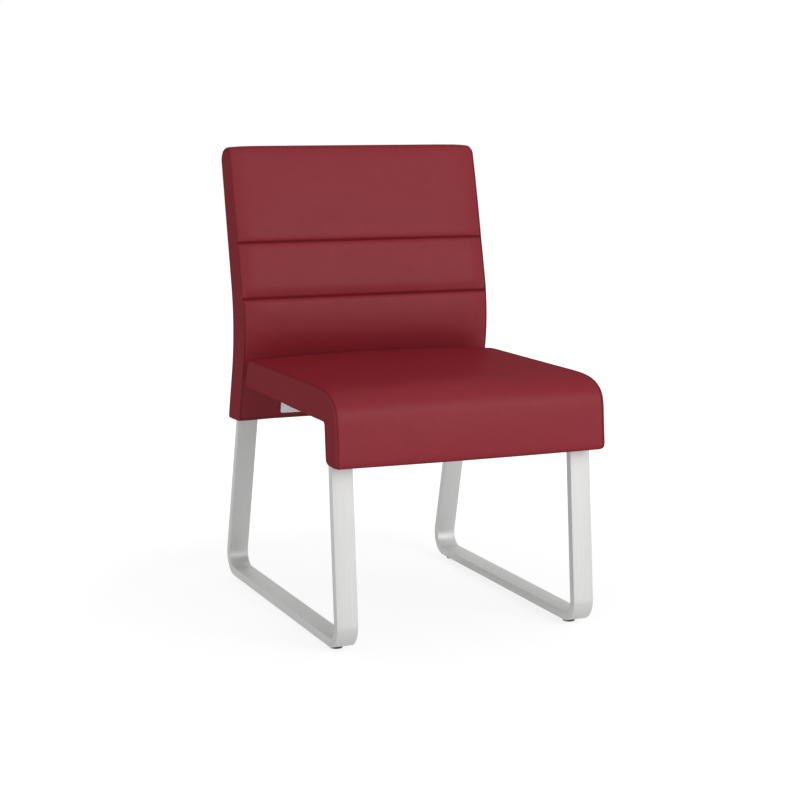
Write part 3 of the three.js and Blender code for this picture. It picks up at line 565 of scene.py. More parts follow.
def upholster(name, form, swell_of, shares, strides, held, target, side_line,
              lines=(), faint=(), pull=0.0):
    share, quick_share = shares
    seams = [line[0] for line in (*lines, *faint)]
    fine = Cushion(**form, swell=swell_of(share), seams=seams, stride=strides[0], fine=True)
    n, total = fine.normals, fine.track.total
    space = np.stack([np.zeros(len(n)), n[:, 0], n[:, 1]], axis=-1)[None]
    coarse = Cushion(**form, swell=swell_of(share), seams=(), stride=strides[1], fine=False)
    push = carry(inflate(coarse, held, target), coarse, fine)
    groove = np.repeat(side_groove(fine, *side_line)[:, None], len(fine.s), axis=1)
    for seam, depth, width in (*lines, *faint):
        groove = np.maximum(groove, depth * np.exp(-(gap_to(fine.s, seam, total) / width) ** 2))
    vertices, faces = fine.grid(push - space * groove[..., None], side_puff, pull)
    piece = mesh_object(name, vertices, faces)
    side_gap = fine.seam_gap(len(vertices))
    border = fine.edge_steps * len(fine.s)
    main = slice(border, fine.ring_total - border)
    # The first attribute masks shade painted into the seam grooves; the second marks where the cover
    # gathers beside the seams
    for attribute, (side_width, line_width) in (('painted_seam_shade', seam_shade_widths), ('sewn', sewn_widths)):
        values = np.exp(-(side_gap / side_width) ** 2)
        for seam, _, _ in lines:
            near = np.exp(-(gap_to(fine.s, seam, total) / line_width) ** 2)
            values[main] = np.maximum(values[main], np.tile(near, len(fine.x)))
        stored = piece.data.attributes.new(attribute, 'FLOAT', 'POINT')
        stored.data.foreach_set('value', values.astype(np.float32))
    piece.modifiers.new('Subdivision', 'SUBSURF').levels = 1
    return piece


# Seat cushion

seat_half, back_half = seat_width / 2, back_width / 2
seat_corners = [seat_track.nearest(p) for p in (
    seat_rear_high, apron_front(apron_level), apron_back(apron_bottom), seat_rear_hem)]


def seat_swell(share):
    def swell(x, p, normal, s):
        facing = np.maximum(0, normal[..., 1]) + np.maximum(0, -normal[..., 0]) / 2
        return share * seat_crown * bow(x, seat_half - seat_edge, 2) * facing
    return swell


def lipped(rings, base):
    """Sides of the apron drawn back over the outer faces of the front legs, the hem of the
    side panels drawn down over the side frames, the top falling to its side seams, and the
    apron's lower corners rounded."""
    x, y, z = np.abs(rings[..., 0]), base[:, 0], base[:, 1]
    above, behind = z - seat_underside, y - apron_back(seat_underside)[0]
    share = (y - apron_front(z[:, None])[:, 0]) / apron_thickness
    lip = smooth(share, *lip_zone) * (1 - smooth(behind, *lip_rear_zone)) * (above < lip_ceiling)
    outside = smooth(x - frame_width / 2, *leg_side_zone)
    under = (1 - smooth(above, *hem_zone)) * smooth(behind, *hem_front_zone)
    hem = hem_drop + (rear_hem_drop - hem_drop) * smooth(behind, *hem_change_zone)
    fall = edge_fall * smooth(above, *edge_zone) * np.minimum(1, x / seat_half) ** edge_power
    lift = corner_drop(x, seat_half, apron_corner) * (1 - smooth(z - apron_bottom, *apron_corner_zone))
    rings[..., 1] += apron_lip * lip * outside
    rings[..., 2] += lift - fall - hem * under * outside


def seat_cushion():
    def held(p, s):
        """Sides, underside and foot of the apron, where the cover is fastened."""
        y, z = p[1] + ORIGIN_Y, p[2]
        under = z < seat_underside + 3 and y > apron_back(z)[0] - 6
        return abs(p[0]) > seat_half - seat_edge - 1 or under or z < apron_bottom + 6

    form = dict(track=seat_track, half=seat_half, edge=seat_edge, rear_edge=seat_rear_edge,
                corners=seat_corners, shape=lipped)
    return finish_mesh(upholster(
        'seat_cushion', form, seat_swell, shares=(0.8, 1.0), strides=(8, 11), held=held, target=2.6,
        side_line=(1.4, 1.2), pull=seat_side_pull))


# Back cushion

channels = [back_track.nearest(back_front(z)) for z in channel_heights]
top_seam = back_track.nearest(back_head[0] + vec(9, -30))
foot_seam = back_track.nearest(back_front(back_bottom) + vec(1, 6))
brow_seam = back_track.nearest(back_front(back_top - 9))
back_corners = [back_track.nearest(p) for p in (
    back_front(back_top), back_front(back_bottom), back_foot[0], back_head[0])]


def roll(s, seam, above, below, depth):
    """Roll of the padding into a sewn channel, wider above the seam than below it."""
    away = s - seam                       # positive further down the front
    t = np.where(away < 0, -away / above, away / below)
    return depth * np.clip(1 - t, 0, 1) ** roll_power


def back_swell(share):
    def swell(x, p, normal, s):
        z, inner = p[..., 1], back_half - back_edge - np.abs(x)
        front, rear = np.maximum(0, -normal[..., 0]), np.maximum(0, normal[..., 0])
        rise = seam_recess(z) + pillow_rise * smooth(z, *bulge_zone)
        pillow = rise * (1 - (1 - np.clip(inner / pillow_run, 0, 1)) ** pillow_power)
        rolls = sum(roll(s, seam, *sizes) for seam, sizes in zip(channels, channel_rolls))
        along = channel_end_depth + (1 - channel_end_depth) * smooth(inner, 0, channel_end_run)
        inward = rolls * along * (normal[..., 0] < 0)
        crown = rear * back_rear_crown * bow(x, back_half - back_edge, 2)
        return front * share * pillow - inward + crown
    return swell


def round_shouldered(rings, base):
    """Top corners of the back rounded as seen from the front, the sides of its lumbar panel
    drawn in towards the front, and the sides of its foot swelling over the legs."""
    x, z = np.abs(rings[..., 0]), rings[..., 2]
    sag = top_sag * np.clip((x - back_half) / top_sag_run + 1, 0, 1) ** 2
    drop = (corner_drop(x, back_half, top_corner) + sag) * smooth(z - back_top, *shoulder_zone)
    behind = rings[..., 1] + ORIGIN_Y - back_front(z)[..., 0]
    drawn = below_channel(z) * (1 - smooth(behind, *side_depth_zone))
    foot = drawn * (1 - smooth(z, *bulge_zone)) * smooth(x - frame_width / 2, *foot_swell_zone)
    sides = smooth(x, back_half - side_draw_run, back_half - back_edge)
    rings[..., 0] -= np.sign(rings[..., 0]) * side_draw * drawn * sides
    rings[..., 1] -= foot_swell * foot + drop * back_up[0]
    rings[..., 2] -= drop * back_up[1]


def back_cushion():
    def held(p, s):
        """Sides, channels, rear and foot, where the cover is fastened."""
        sewn = min(gap_to(s, seam, back_track.total) for seam in channels) < 5.5
        rear = p[1] + ORIGIN_Y > back_front(min(p[2], back_top))[0] + 24
        return abs(p[0]) > back_half - back_edge - 1 or sewn or rear or p[2] < back_bottom + 8

    form = dict(track=back_track, half=back_half, edge=back_edge, rear_edge=back_rear_edge,
                corners=back_corners, shape=round_shouldered)
    piece = upholster(
        'back_cushion', form, back_swell, shares=(0.92, 1.1), strides=(8, 10), held=held, target=1.6,
        side_line=(0.9, 0.9), faint=((brow_seam, 0.5, 0.9),),
        lines=((channels[0], 2.0, 1.3), (channels[1], 2.4, 1.5),
               (top_seam, 1.1, 1.2), (foot_seam, 1.1, 1.2)))
    cutters = [leg_pocket(side) for side in (-1, 1)]
    for cutter in cutters:
        pocket = piece.modifiers.new('Pocket', 'BOOLEAN')
        pocket.operation, pocket.object, pocket.solver = 'DIFFERENCE', cutter, 'EXACT'
    finish_mesh(piece)
    for cutter in cutters:
        bpy.data.objects.remove(cutter)
    return piece


def leg_pocket(side, room=1.0):
    """Room that the rear leg takes in the foot of the back."""
    outline = [[rear_face(z) + rearward * depth for z in (back_bottom - 20, back_bottom + 30)]
               for depth in (room, -bar_thickness - room)]
    inner, outer = frame_width / 2 - bar_width - room, frame_width / 2 + room
    return slab(f'pocket_{side}', place(outline, side * inner), place(outline, side * outer))


# Side frames

def bar_section(width, thickness, ease, steps=4):
    """Rounded rectangle: offsets (across the thickness, across the chair)."""
    points = []
    for cx, cy, start in ((1, 1, 0), (-1, 1, 90), (-1, -1, 180), (1, -1, 270)):
        for k in range(steps + 1):
            angle = (start + 90 * k / steps) * DEGREE
            points.append((cx * (thickness / 2 - ease) + ease * math.cos(angle),
                           cy * (width / 2 - ease) + ease * math.sin(angle)))
    return np.array(points)


def sled(side, name):
    """Side frame: the bar's section swept along its side outline, with eased ends."""
    half = bar_thickness / 2
    front_corner = vec(half * math.tan(math.pi / 4 + front_lean / 2), glide_height + half)
    rear_corner = vec(footprint - half * math.tan(math.pi / 4 + rear_lean / 2), glide_height + half)
    front_top = front_face(seat_underside - leg_top_gap) - forward * half
    rear_top = rear_face(back_bottom + rear_leg_reach) - rearward * half
    bend = bend_radius - half
    track = Track(rounded([(front_top, 0), (front_corner, bend), (rear_corner, bend), (rear_top, 0)],
                          closed=False, step=1.6), closed=False)
    samples = np.linspace(3, track.total - 3, 2000)
    bends = track.bend(samples) > bar_bent
    places = [0.0]
    while places[-1] < track.total:
        bent = np.interp(places[-1] + 2, samples, bends) > 0.02
        places.append(min(track.total, places[-1] + (bar_bend_step if bent else bar_straight_step)))
    s = np.array([0.0, 0.0, *places, track.total, track.total])
    insets = [bar_ease, bar_end_inset, *np.zeros(len(places)), bar_end_inset, bar_ease]
    middle = side * (frame_width / 2 - bar_width / 2)
    rings = []
    for centre, normal, inset in zip(track.at(s), track.normal(np.clip(s, 1, track.total - 1)), insets):
        section = bar_section(bar_width - 2 * inset, bar_thickness - 2 * inset, bar_ease)
        rings.append(place(centre + np.outer(section[:, 0], normal), middle + section[:, 1]))
    count, total = len(rings[0]), len(rings) * len(rings[0])
    faces = tube(len(rings), count) + [list(range(count))[::-1], list(range(total - count, total))]
    piece = mesh_object(name, np.vstack(rings), faces, bar_crisp)
    around = Track(bar_section(bar_width, bar_thickness, bar_ease), closed=False).lengths
    unwrap(piece, np.repeat(s, count), np.tile(around, len(rings)), around[-1] + 3)
    return recalc(piece)


def unwrap(piece, along, around, girth):
    """UV map in metres: u along the bar and v round it."""
    layer = piece.data.uv_layers.new(name='UVMap')
    corners = np.empty(len(piece.data.loops), int)
    piece.data.loops.foreach_get('vertex_index', corners)
    u, v, whole = along[corners] * MM, around[corners] * MM, girth * MM
    for polygon in piece.data.polygons:
        span = slice(polygon.loop_start, polygon.loop_start + polygon.loop_total)
        if polygon.loop_total == 4 and v[span].max() - v[span].min() > whole / 2:
            v[span] = np.where(v[span] < whole / 2, v[span] + whole, v[span])
    layer.data.foreach_set('uv', np.stack([u, v], axis=-1).reshape(-1).astype(np.float32))


# Turned pieces

def lathe(name, profile, origin, axis, sides=48, six=()):
    """Turned piece through (radius, height) pairs; the rings numbered in six are hexagons."""
    axis = Vector(axis).normalized()
    helper = Vector((1, 0, 0)) if abs(axis.x) < 0.9 else Vector((0, 1, 0))
    first = axis.cross(helper).normalized()
    second = axis.cross(first)
    vertices, rings = [], []
    for number, (radius, height) in enumerate(profile):
        rings.append([])
        for k in range(sides if radius else 1):
            angle, r = 2 * math.pi * k / sides, radius
            if number in six:
                r = radius / math.cos((angle + math.pi / 6) % (math.pi / 3) - math.pi / 6)
            rings[-1].append(len(vertices))
            vertices.append(tuple(Vector(origin) + axis * height
                                  + first * r * math.cos(angle) + second * r * math.sin(angle)))
    faces = []
    for a, b in zip(rings, rings[1:]):
        for k in range(sides):
            j = (k + 1) % sides
            quad = [a[k % len(a)], a[j % len(a)], b[j % len(b)], b[k % len(b)]]
            faces.append(tuple(dict.fromkeys(quad)))
    return recalc(mesh_object(name, vertices, faces, turned_crisp))


def socket_bolt(name, head, out, length):
    """Button head bolt with a hexagon socket, seated at head and facing out."""
    top, r, shank, socket = bolt_head_height, bolt_head_radius, bolt_radius, socket_radius
    profile = [
        (0, -length), (shank - 0.8, -length), (shank, -length + 0.8), (shank, -0.4), (shank + 0.4, 0),
        (r - 0.5, 0), (r, 0.5), (r, 1.1), (r - 0.35, 2.2), (r - 1.1, 3.2), (r - 2.2, 3.95),
        (r - 3.3, top), (socket + 0.45, top), (socket, top - 0.35), (socket, top - socket_depth),
        (0, top - socket_depth - 0.6),
    ]
    return lathe(name, profile, head, out, six=(13, 14))


def pan_screw(name, head, out, length):
    """Pan head screw with a hexagon recess."""
    top, r, shank, recess_radius = screw_head_height, screw_head_radius, screw_radius, 1.4
    profile = [
        (0, -length), (shank * 0.4, -length + 1.2), (shank, -length + 3.5), (shank, 0), (r - 0.25, 0),
        (r, 0.3), (r, 0.9), (r - 0.4, 1.6), (r - 1.1, 2.15), (r - 2.0, top), (recess_radius + 0.15, top),
        (recess_radius, top - 0.15), (recess_radius, top - 1.3), (0, top - 1.5),
    ]
    return lathe(name, profile, head, out, sides=36, six=(11, 12))


def glide(name, x, y):
    """Moulded glide pressed on its stud, with a rounded foot."""
    r, top = glide_radius, glide_height - clearance
    profile = [
        (0, 0.5), (r - 5, 0.35), (r - 3.2, 0), (r - 1.6, 0), (r - 0.6, 0.4), (r - 0.1, 1.2), (r, 2.0),
        (r, top - 2.2), (r - 0.5, top - 1.7), (r - 0.5, top - 1.2), (r - 0.1, top - 0.8),
        (r - 0.1, top - 0.3), (r - 0.5, top), (0, top),
    ]
    return lathe(name, profile, (x, y, 0), (0, 0, 1))


# Bracket

def bracket():
    """Bent plate with rounded free corners and eased edges."""
    half_thick = bracket_thickness / 2
    outer_depth, upper = foot_front_depth + clearance, seat_underside - clearance
    low = foot_point(outer_depth + half_thick, bracket_bottom)
    corner = foot_point(outer_depth + half_thick, upper - half_thick)
    front = vec(foot_point(outer_depth, upper)[0] - bracket_reach, upper - half_thick)
    track = Track(rounded([(low, 0), (corner, bracket_radius - half_thick), (front, 0)],
                          closed=False, step=0.5), closed=False)
    near_ends = np.array([0, 0.4, 1, 1.8, 2.8, 4, 5])
    near_bend = track.nearest(corner) + np.arange(-6, 6.1, 0.8)
    between = np.arange(9, track.total - 8, 4)
    s = np.unique(np.concatenate([near_ends, between, near_bend, track.total - near_ends]))
    centre, normal = track.at(s), track.normal(np.clip(s, 1, track.total - 1))
    inset = corner_drop(-np.minimum(s, track.total - s), 0, bracket_corner)
    half = frame_width / 2 - bar_width - bracket_inset
    x = np.linspace(-1, 1, 29)[:, None] * (half - inset)
    outer, inner = [place(np.tile(centre + normal * depth, (len(x), 1, 1)), x)
                    for depth in (half_thick, -half_thick)]
    piece = slab('bracket_plate', outer, inner)
    ease = piece.modifiers.new('Ease', 'BEVEL')
    ease.width, ease.segments = bracket_ease * MM, 2
    ease.limit_method, ease.angle_limit = 'ANGLE', 50 * DEGREE
    finish_mesh(piece)
    piece.data.shade_smooth()
    piece.data.set_sharp_from_angle(angle=bracket_crisp)
    return piece


# Dust cover

def dust_cover():
    """Black cloth stapled under the seat, with folded edges, and the rectangle and level
    that it covers."""
    low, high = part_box('seat_dust_cover')
    x0, x1 = low.x / MM + cloth_side_margin, high.x / MM - cloth_side_margin
    y0, y1 = low.y / MM + cloth_front_margin, high.y / MM - cloth_rear_margin
    columns, rows = cloth_grid
    x, y = np.meshgrid(np.linspace(x0, x1, columns), np.linspace(y0, y1, rows), indexing='ij')
    edge = np.minimum(np.minimum(x - x0, x1 - x), np.minimum(y - y0, y1 - y))
    rng = np.random.default_rng(7)
    wave = np.zeros_like(x)
    for _ in range(cloth_waves):
        angle, phase = rng.uniform(0, math.pi), rng.uniform(0, 2 * math.pi)
        length = rng.uniform(*cloth_wave_lengths)
        wave += np.sin((x * math.cos(angle) + y * math.sin(angle)) / length * 2 * math.pi + phase)
    sag = cloth_sag * smooth(edge, *cloth_sag_zone) * (1 + cloth_wave * wave)
    fold = cloth_fold * (1 - smooth(edge, *cloth_fold_zone))
    bottom = np.stack([x, y, low.z / MM + cloth_level - sag - fold], axis=-1)
    piece = slab('dust_cover_cloth', bottom, bottom + np.array([0, 0, cloth_thickness]))
    return piece, (x0, x1, y0, y1, low.z / MM)


def staples(x0, x1, y0, y1, z):
    """Wire staples along the folded edge."""
    half, leg, lift, bend, sink = staple_crown / 2, 1.0, 0.25, 0.35, -0.1
    line = np.array([(-half, leg), (-half, lift), (bend - half, sink),
                     (half - bend, sink), (half, lift), (half, leg)])
    t = line[[1, 2, 3, 4, 5, 5]] - line[[0, 0, 1, 2, 3, 4]]
    t /= np.linalg.norm(t, axis=1, keepdims=True)
    angle = np.arange(8) * math.pi / 4
    along = line[:, :1] - t[:, 1:] * staple_wire * np.cos(angle)
    height = line[:, 1:] + t[:, :1] * staple_wire * np.cos(angle) + z
    across = np.tile(staple_wire * np.sin(angle), (len(line), 1))
    one = tube(*along.shape) + [list(range(8))[::-1], list(range(along.size - 8, along.size))]
    rims = ((y0 + staple_inset, x0, x1, False), (y1 - staple_inset, x0, x1, False),
            (x0 + staple_inset, y0, y1, True), (x1 - staple_inset, y0, y1, True))
    vertices, faces = [], []
    for fixed, start, end, turned in rims:
        count = round((end - start) / staple_spacing)
        for k in range(count):
            faces += [[v + len(vertices) * along.size for v in face] for face in one]
            p, q = start + (end - start) * (k + 0.5) / count + along, fixed + across
            vertices.append(np.stack([q, p, height] if turned else [p, q, height], axis=-1))
    return recalc(mesh_object('dust_cover_staples', np.reshape(vertices, (-1, 3)), faces, staple_crisp))


# Materials

class Graph:
    """Short way to lay out the nodes of a material or a world."""

    def __init__(self, owner, shader='Principled BSDF'):
        self.owner = bpy.data.materials.new(owner) if isinstance(owner, str) else owner
        self.owner.use_nodes = True
        self.tree = self.owner.node_tree
        self.shader = self.tree.nodes[shader]

    def node(self, kind, inputs=None, **settings):
        node = self.tree.nodes.new('ShaderNode' + kind)
        for key, value in settings.items():
            setattr(node, key, value)
        for key, value in (inputs or {}).items():
            self.put(node.inputs[key], value)
        return node

    def put(self, target, value):
        if isinstance(value, bpy.types.NodeSocket):
            self.tree.links.new(value, target)
        else:
            target.default_value = value

    def shade(self, **values):
        """Sets or links the shader's own sockets."""
        for key, value in values.items():
            self.put(self.shader.inputs[key.replace('_', ' ')], value)

    def coordinates(self, kind='Object'):
        return self.node('TexCoord').outputs[kind]

    def noise(self, scale, detail=3.0, roughness=0.55, vector=None, distortion=0.0, output='Fac'):
        return self.node('TexNoise', {
            'Vector': vector or self.coordinates(), 'Scale': scale, 'Detail': detail,
            'Roughness': roughness, 'Distortion': distortion}).outputs[output]

    def cells(self, scale, vector, feature='F1', randomness=1.0):
        return self.node('TexVoronoi', {'Scale': scale, 'Randomness': randomness, 'Vector': vector},
                         feature=feature).outputs['Distance']

    def stretch(self, vector, *scale):
        return self.node('Mapping', {'Scale': scale, 'Vector': vector}).outputs['Vector']

    def fit(self, value, low, high, to_low=0.0, to_high=1.0):
        return self.node('MapRange', {
            'Value': value, 'From Min': low, 'From Max': high,
            'To Min': to_low, 'To Max': to_high}).outputs['Result']

    def math(self, operation, a, b):
        return self.node('Math', {0: a, 1: b}, operation=operation).outputs[0]

    def sum(self, a, a_share, b, b_share):
        return self.math('ADD', self.math('MULTIPLY', a, a_share), self.math('MULTIPLY', b, b_share))

    def mix(self, share, a, b):
        return self.node('Mix', {'Factor': share, 6: a, 7: b}, data_type='RGBA').outputs[2]

    def bump(self, height, distance, strength=1.0, normal=None):
        inputs = {'Distance': distance, 'Strength': strength, 'Height': height}
        if normal:
            inputs['Normal'] = normal
        return self.node('Bump', inputs).outputs['Normal']

    def stored(self, name):
        return self.node('Attribute', attribute_name=name).outputs['Fac']

    def seen(self):
        """1 for rays from the camera, also in reflections, and 0 for rays that carry light."""
        rays = self.node('LightPath').outputs
        mirrored = self.math('MAXIMUM', rays['Is Glossy Ray'], rays['Is Transmission Ray'])
        return self.math('MAXIMUM', rays['Is Camera Ray'], mirrored)


def rgb(red, green, blue):
    return red, green, blue, 1


def leather():
    """Burgundy leather: fine grain and pores, with shade painted into its seams, and gathered beside
    them.
    """
    g = Graph('burgundy_leather')
    where = g.coordinates()
    mottle = g.sum(g.noise(11, 4), 0.4, g.noise(55, 3), 0.6)
    warp = g.node('VectorMath', operation='ADD')
    g.put(warp.inputs[0], where)
    g.put(warp.inputs[1], g.stretch(g.noise(420, 2, 0.5, where, output='Color'), *[grain_warp] * 3))
    grain = g.cells(820, warp.outputs[0], 'DISTANCE_TO_EDGE')
    creases = g.fit(grain, 0, 0.10)
    pores = g.noise(1500, 2, 0.6)
    colour = g.mix(g.fit(mottle, 0.36, 0.64), leather_dark, leather_light)
    colour = g.mix(g.fit(grain, 0, 0.07, 0.30, 0), colour, grain_colour)
    colour = g.mix(g.fit(pores, 0.30, 0.42, 0.20, 0), colour, pore_colour)
    # Painted shade: the leather is darker in the seam grooves, where shade falls
    colour = g.mix(g.fit(g.stored('painted_seam_shade'), 0.15, 1, 0, 0.72), colour, seam_shade_colour)
    rough = g.math('ADD', g.fit(mottle, 0.3, 0.7, 0.37, 0.34), g.fit(creases, 0, 1, 0.06, 0))
    soft = g.bump(g.noise(26, 3, 0.5), 0.0005, 0.4)
    pulls = g.math('MULTIPLY', g.noise(150, 2, 0.5, g.stretch(where, 1, 0.35, 0.35)), g.stored('sewn'))
    soft = g.bump(pulls, 0.0010, 0.5, soft)
    fine = g.bump(creases, 0.00016, 0.5, soft)
    grained = g.bump(pores, 0.00008, 0.4, fine)
    g.shade(Base_Color=colour, Roughness=rough, Normal=grained, Specular_IOR_Level=0.0)
    g.shade(Coat_Weight=0.043, Coat_IOR=4.0, Coat_Roughness=rough, Coat_Normal=grained)
    return g.owner


def brushed(name, light, dark, rough):
    """Satin steel brushed along u of the UV map."""
    g = Graph(name)
    where = g.coordinates('UV')
    lines = g.noise(1, 4, 0.65, g.stretch(where, 9, 4200, 1))
    broad = g.noise(1, 2, 0.5, g.stretch(where, 2.2, 420, 1))
    tone = g.sum(lines, 0.85, broad, 0.15)
    sheen = g.fit(tone, 0.3, 0.7, rough + 0.05, rough - 0.05)
    g.shade(Base_Color=g.mix(g.fit(tone, 0.35, 0.65), dark, light),
            Roughness=g.math('ADD', sheen, g.fit(g.noise(14, 3), 0.3, 0.7, -0.02, 0.03)),
            Metallic=0.45, Specular_IOR_Level=0.25, Normal=g.bump(lines, 0.00003, 0.4))
    return g.owner


def plated(name, light, dark, rough):
    """Zinc plated steel with a fine cloudy spangle."""
    g = Graph(name)
    cloud = g.noise(60, 4, 0.6)
    tone = g.sum(cloud, 0.7, g.cells(420, g.coordinates()), 0.5)
    g.shade(Base_Color=g.mix(g.fit(tone, 0.35, 0.85), dark, light), Metallic=1.0,
            Roughness=g.fit(tone, 0.3, 0.9, rough - 0.06, rough + 0.08),
            Normal=g.bump(cloud, 0.00005, 0.4))
    return g.owner


def moulded(name, light, dark):
    """Moulded plastic with a fine spark-eroded texture and scuffs."""
    g = Graph(name)
    scuff = g.noise(90, 4, 0.7)
    g.shade(Base_Color=g.mix(g.fit(scuff, 0.4, 0.7), dark, light),
            Roughness=g.fit(scuff, 0.3, 0.7, 0.62, 0.48),
            Normal=g.bump(g.noise(2600, 2, 0.6), 0.00005, 0.6))
    return g.owner


def timber(name, light, dark, layers=None):
    """Wood with grain along X; layers gives the axis scale of plywood's veneers."""
    g = Graph(name)
    where = g.coordinates()
    grain = g.noise(1, 5, 0.6, g.stretch(where, 7, 160, 160), 0.6)
    pore = g.noise(1, 2, 0.5, g.stretch(where, 30, 1400, 1400))
    colour = g.mix(g.fit(grain, 0.35, 0.65), light, dark)
    if layers:
        veneer = g.node('TexWave', {
            'Vector': g.stretch(where, *layers), 'Scale': 1.0, 'Distortion': 0.4, 'Detail': 1.0,
            'Detail Scale': 2.0}, wave_type='BANDS', bands_direction='DIAGONAL')
        colour = g.mix(g.fit(veneer.outputs['Fac'], 0.35, 0.65, 0, 0.35), colour, dark)
    g.shade(Base_Color=colour, Roughness=g.fit(pore, 0.3, 0.7, 0.72, 0.55),
            Normal=g.bump(grain, 0.0002, 0.4))
    return g.owner


def sponge(name, light, dark):
    """Open cell foam."""
    g = Graph(name)
    cell = g.cells(700, g.coordinates())
    g.shade(Base_Color=g.mix(g.fit(cell, 0.1, 0.6), dark, light),
            Roughness=g.fit(cell, 0, 0.7, 1.0, 0.85), Normal=g.bump(cell, 0.0005, 0.8))
    return g.owner


def nonwoven(name, light, dark):
    """Spunbonded cloth: matted fibres with a dimpled bond pattern."""
    g = Graph(name)
    where = g.coordinates()
    fibre = g.noise(1, 4, 0.7, g.stretch(where, 900, 320, 500), 1.5)
    dimple = g.cells(620, where, 'F1', 0.25)
    tone = g.sum(fibre, 0.7, dimple, 0.3)
    g.shade(Base_Color=g.mix(g.fit(tone, 0.3, 0.7), dark, light),
            Roughness=g.fit(fibre, 0.3, 0.7, 0.95, 0.8),
            Normal=g.bump(dimple, 0.00015, 0.7, g.bump(fibre, 0.0001, 0.6)))
    return g.owner


grain_warp = 0.0009
leather_light, leather_dark = rgb(0.263, 0.0192, 0.0294), rgb(0.249, 0.0174, 0.0272)
grain_colour, pore_colour = rgb(0.120, 0.0075, 0.0125), rgb(0.12, 0.008, 0.013)
# Colour of the painted shade in the seam grooves
seam_shade_colour = rgb(0.070, 0.0035, 0.0060)

red_leather = leather()
satin = brushed('brushed_steel', rgb(0.634, 0.634, 0.628), rgb(0.612, 0.612, 0.607), 0.50)
zinc = plated('zinc_plate', rgb(0.56, 0.57, 0.57), rgb(0.42, 0.43, 0.43), 0.36)
dark_plastic = moulded('glide_plastic', rgb(0.085, 0.085, 0.09), rgb(0.055, 0.055, 0.06))
birch = timber('birch_plywood', rgb(0.62, 0.43, 0.24), rgb(0.44, 0.28, 0.14), (10, 10, 700))
beech = timber('beech', rgb(0.52, 0.32, 0.17), rgb(0.38, 0.21, 0.10))
foam_look = sponge('foam', rgb(0.80, 0.72, 0.52), rgb(0.55, 0.47, 0.30))
cloth_look = nonwoven('dust_cover_cloth', rgb(0.022, 0.022, 0.024), rgb(0.009, 0.009, 0.010))


def dress(piece, material, slot, *nodes):
    """Material, body and the CAD nodes that the piece stands for; slot is not used."""
    piece.data.materials.clear()
    piece.data.materials.append(material)
    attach(piece, 'root')
    if nodes:
        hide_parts(*nodes)
    return piece


# The chair

seat_piece = dress(seat_cushion(), red_leather, 'upholstery',
                   'seat_cover', 'seat_side_left', 'seat_side_right', 'seat_foam')
back_piece = dress(back_cushion(), red_leather, 'upholstery',
                   'back_cover_upper', 'back_cover_middle', 'back_cover_lower', 'back_cover_rear',
                   'back_side_left', 'back_side_right', 'back_foam', 'back_rear_foam')

front_leg_top = seat_underside - leg_top_gap
board_bottom = apron_bottom + seat_corner_radius
front_bolt_length = bar_thickness + 3 * clearance + cover_thickness + board_thickness + tee_flange
down = Vector((0, 0, -1))
front_out = Vector((0, -forward[0], -forward[1]))
rail_out = Vector((0, -rearward[0], -rearward[1]))

for side, side_name in ((-1, 'left'), (1, 'right')):
    dress(sled(side, f'frame_{side_name}'), satin, 'frame', f'sled_{side_name}')
    middle = side * (frame_width / 2 - bar_width / 2)
    for level, share in front_bolt_shares:
        z = board_bottom + share * (front_leg_top - board_bottom)
        head = place(front_face(z) - forward * (bar_thickness + clearance), middle)
        bolt = socket_bolt(f'front_{level}_{side_name}_socket_bolt', head, front_out, front_bolt_length)
        dress(bolt, zinc, 'fastener', f'front_{level}_{side_name}_bolt')
    for end, y in (('front', glide_setback), ('rear', footprint - glide_setback)):
        dress(glide(f'foot_{end}_{side_name}', middle, y - ORIGIN_Y), dark_plastic, 'glide',
              f'glide_{end}_{side_name}')

rail_screw_z = (bracket_bottom + seat_underside - clearance) / 2
rail_screw_seat = foot_point(foot_front_depth + clearance + bracket_thickness, rail_screw_z)
for name in ('left', 'middle', 'right'):
    low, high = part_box(f'deck_screw_{name}')
    head = ((low.x + high.x) / 2 / MM, (low.y + high.y) / 2 / MM, low.z / MM + screw_head_height)
    dress(pan_screw(f'deck_{name}_pan_screw', head, down, deck_screw_length), zinc, 'fastener',
          f'deck_screw_{name}')
    head = place(rail_screw_seat - rearward * clearance, head[0])
    dress(pan_screw(f'rail_{name}_pan_screw', head, rail_out, rail_screw_length), zinc, 'fastener',
          f'rail_screw_{name}')

dress(bracket(), zinc, 'bracket', 'seat_back_bracket')
cloth_piece, cloth_box = dust_cover()
dress(cloth_piece, cloth_look, 'dust_cover', 'seat_dust_cover')
dress(staples(*cloth_box), zinc, 'fastener')

hidden_looks = {'seat_deck': birch, 'apron_board': birch, 'back_panel': birch, 'back_foot_rail': beech}
for name, node in frame['nodes'].items():
    look = hidden_looks.get(name, zinc)
    if node.hide_render and 'foam' in name:
        look = foam_look
    elif node.hide_render and ('cover' in name or 'side' in name):
        look = red_leather
    elif name.startswith('sled'):
        look = satin
    elif name.startswith('glide_') and 'stud' not in name:
        look = dark_plastic
    node.data.materials.clear()
    node.data.materials.append(look)


# Floor, world, light and camera; distances are in metres, apart from floor_half

floor_half, floor_fade = 9000, (0.55, 1.5)
floor_level, white_level, world_level = 0.80, 1.0, 0.61
camera_lens = 84.38
camera_place, camera_aim = (-1.29903, -3.11258, 0.90394), (-0.00007, 0.01356, 0.37390)


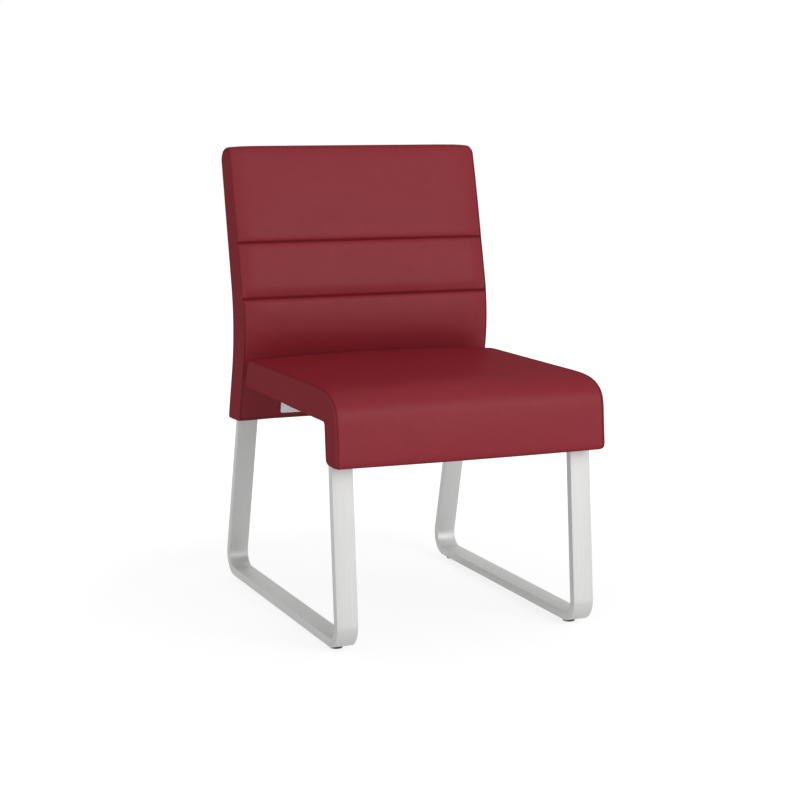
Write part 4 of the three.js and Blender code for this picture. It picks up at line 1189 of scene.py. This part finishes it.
def floor():
    """White floor that takes shadows and glows towards its far parts in the camera's view."""
    a = floor_half
    piece = mesh_object('floor', [(-a, -a, 0), (a, -a, 0), (a, a, 0), (-a, a, 0)], [(0, 1, 2, 3)])
    g = Graph('floor_white')
    g.shade(Base_Color=rgb(0.82, 0.82, 0.82), Roughness=0.9, Specular_IOR_Level=0.1)
    length = g.node('VectorMath', {0: g.coordinates()}, operation='LENGTH').outputs['Value']
    strength = g.fit(length, *floor_fade, floor_level, white_level)
    glow = g.node('Emission', {'Color': rgb(1, 1, 1), 'Strength': strength}).outputs[0]
    matt = g.node('BsdfDiffuse', {'Color': rgb(0.3, 0.3, 0.3)}).outputs[0]
    shown = g.node('AddShader', {0: glow, 1: matt}).outputs[0]
    chosen = g.node('MixShader', {0: g.seen(), 1: g.shader.outputs[0], 2: shown}).outputs[0]
    g.put(g.tree.nodes['Material Output'].inputs['Surface'], chosen)
    piece.data.materials.append(g.owner)


def world():
    """White to the camera, and dimmer as light."""
    space = bpy.data.worlds.new('studio')
    bpy.context.scene.world = space
    g = Graph(space, 'Background')
    g.shade(Color=rgb(1, 1, 1), Strength=g.fit(g.seen(), 0, 1, world_level, white_level))


def aimed(name, data, position, aim):
    """Lamp or camera at a position, looking at aim."""
    item = bpy.data.objects.new(name, data)
    item.location = position
    item.rotation_euler = (Vector(aim) - item.location).to_track_quat('-Z', 'Y').to_euler()
    bpy.context.scene.collection.objects.link(item)
    return item


def softbox(name, position, aim, width, height, power):
    data = bpy.data.lights.new(name, 'AREA')
    data.shape, data.size, data.size_y, data.energy = 'RECTANGLE', width, height, power
    aimed(name, data, position, aim)


def camera():
    data = bpy.data.cameras.new('camera')
    data.sensor_width, data.lens, data.clip_end = 36, camera_lens, 50
    bpy.context.scene.camera = aimed('camera', data, camera_place, camera_aim)


floor()
world()
softbox('key', (1.36, -3.3, 1.7), (0, 0, 0.5), width=1.9, height=2.4, power=53)
camera()
bpy.context.scene.view_settings.view_transform = 'Standard'
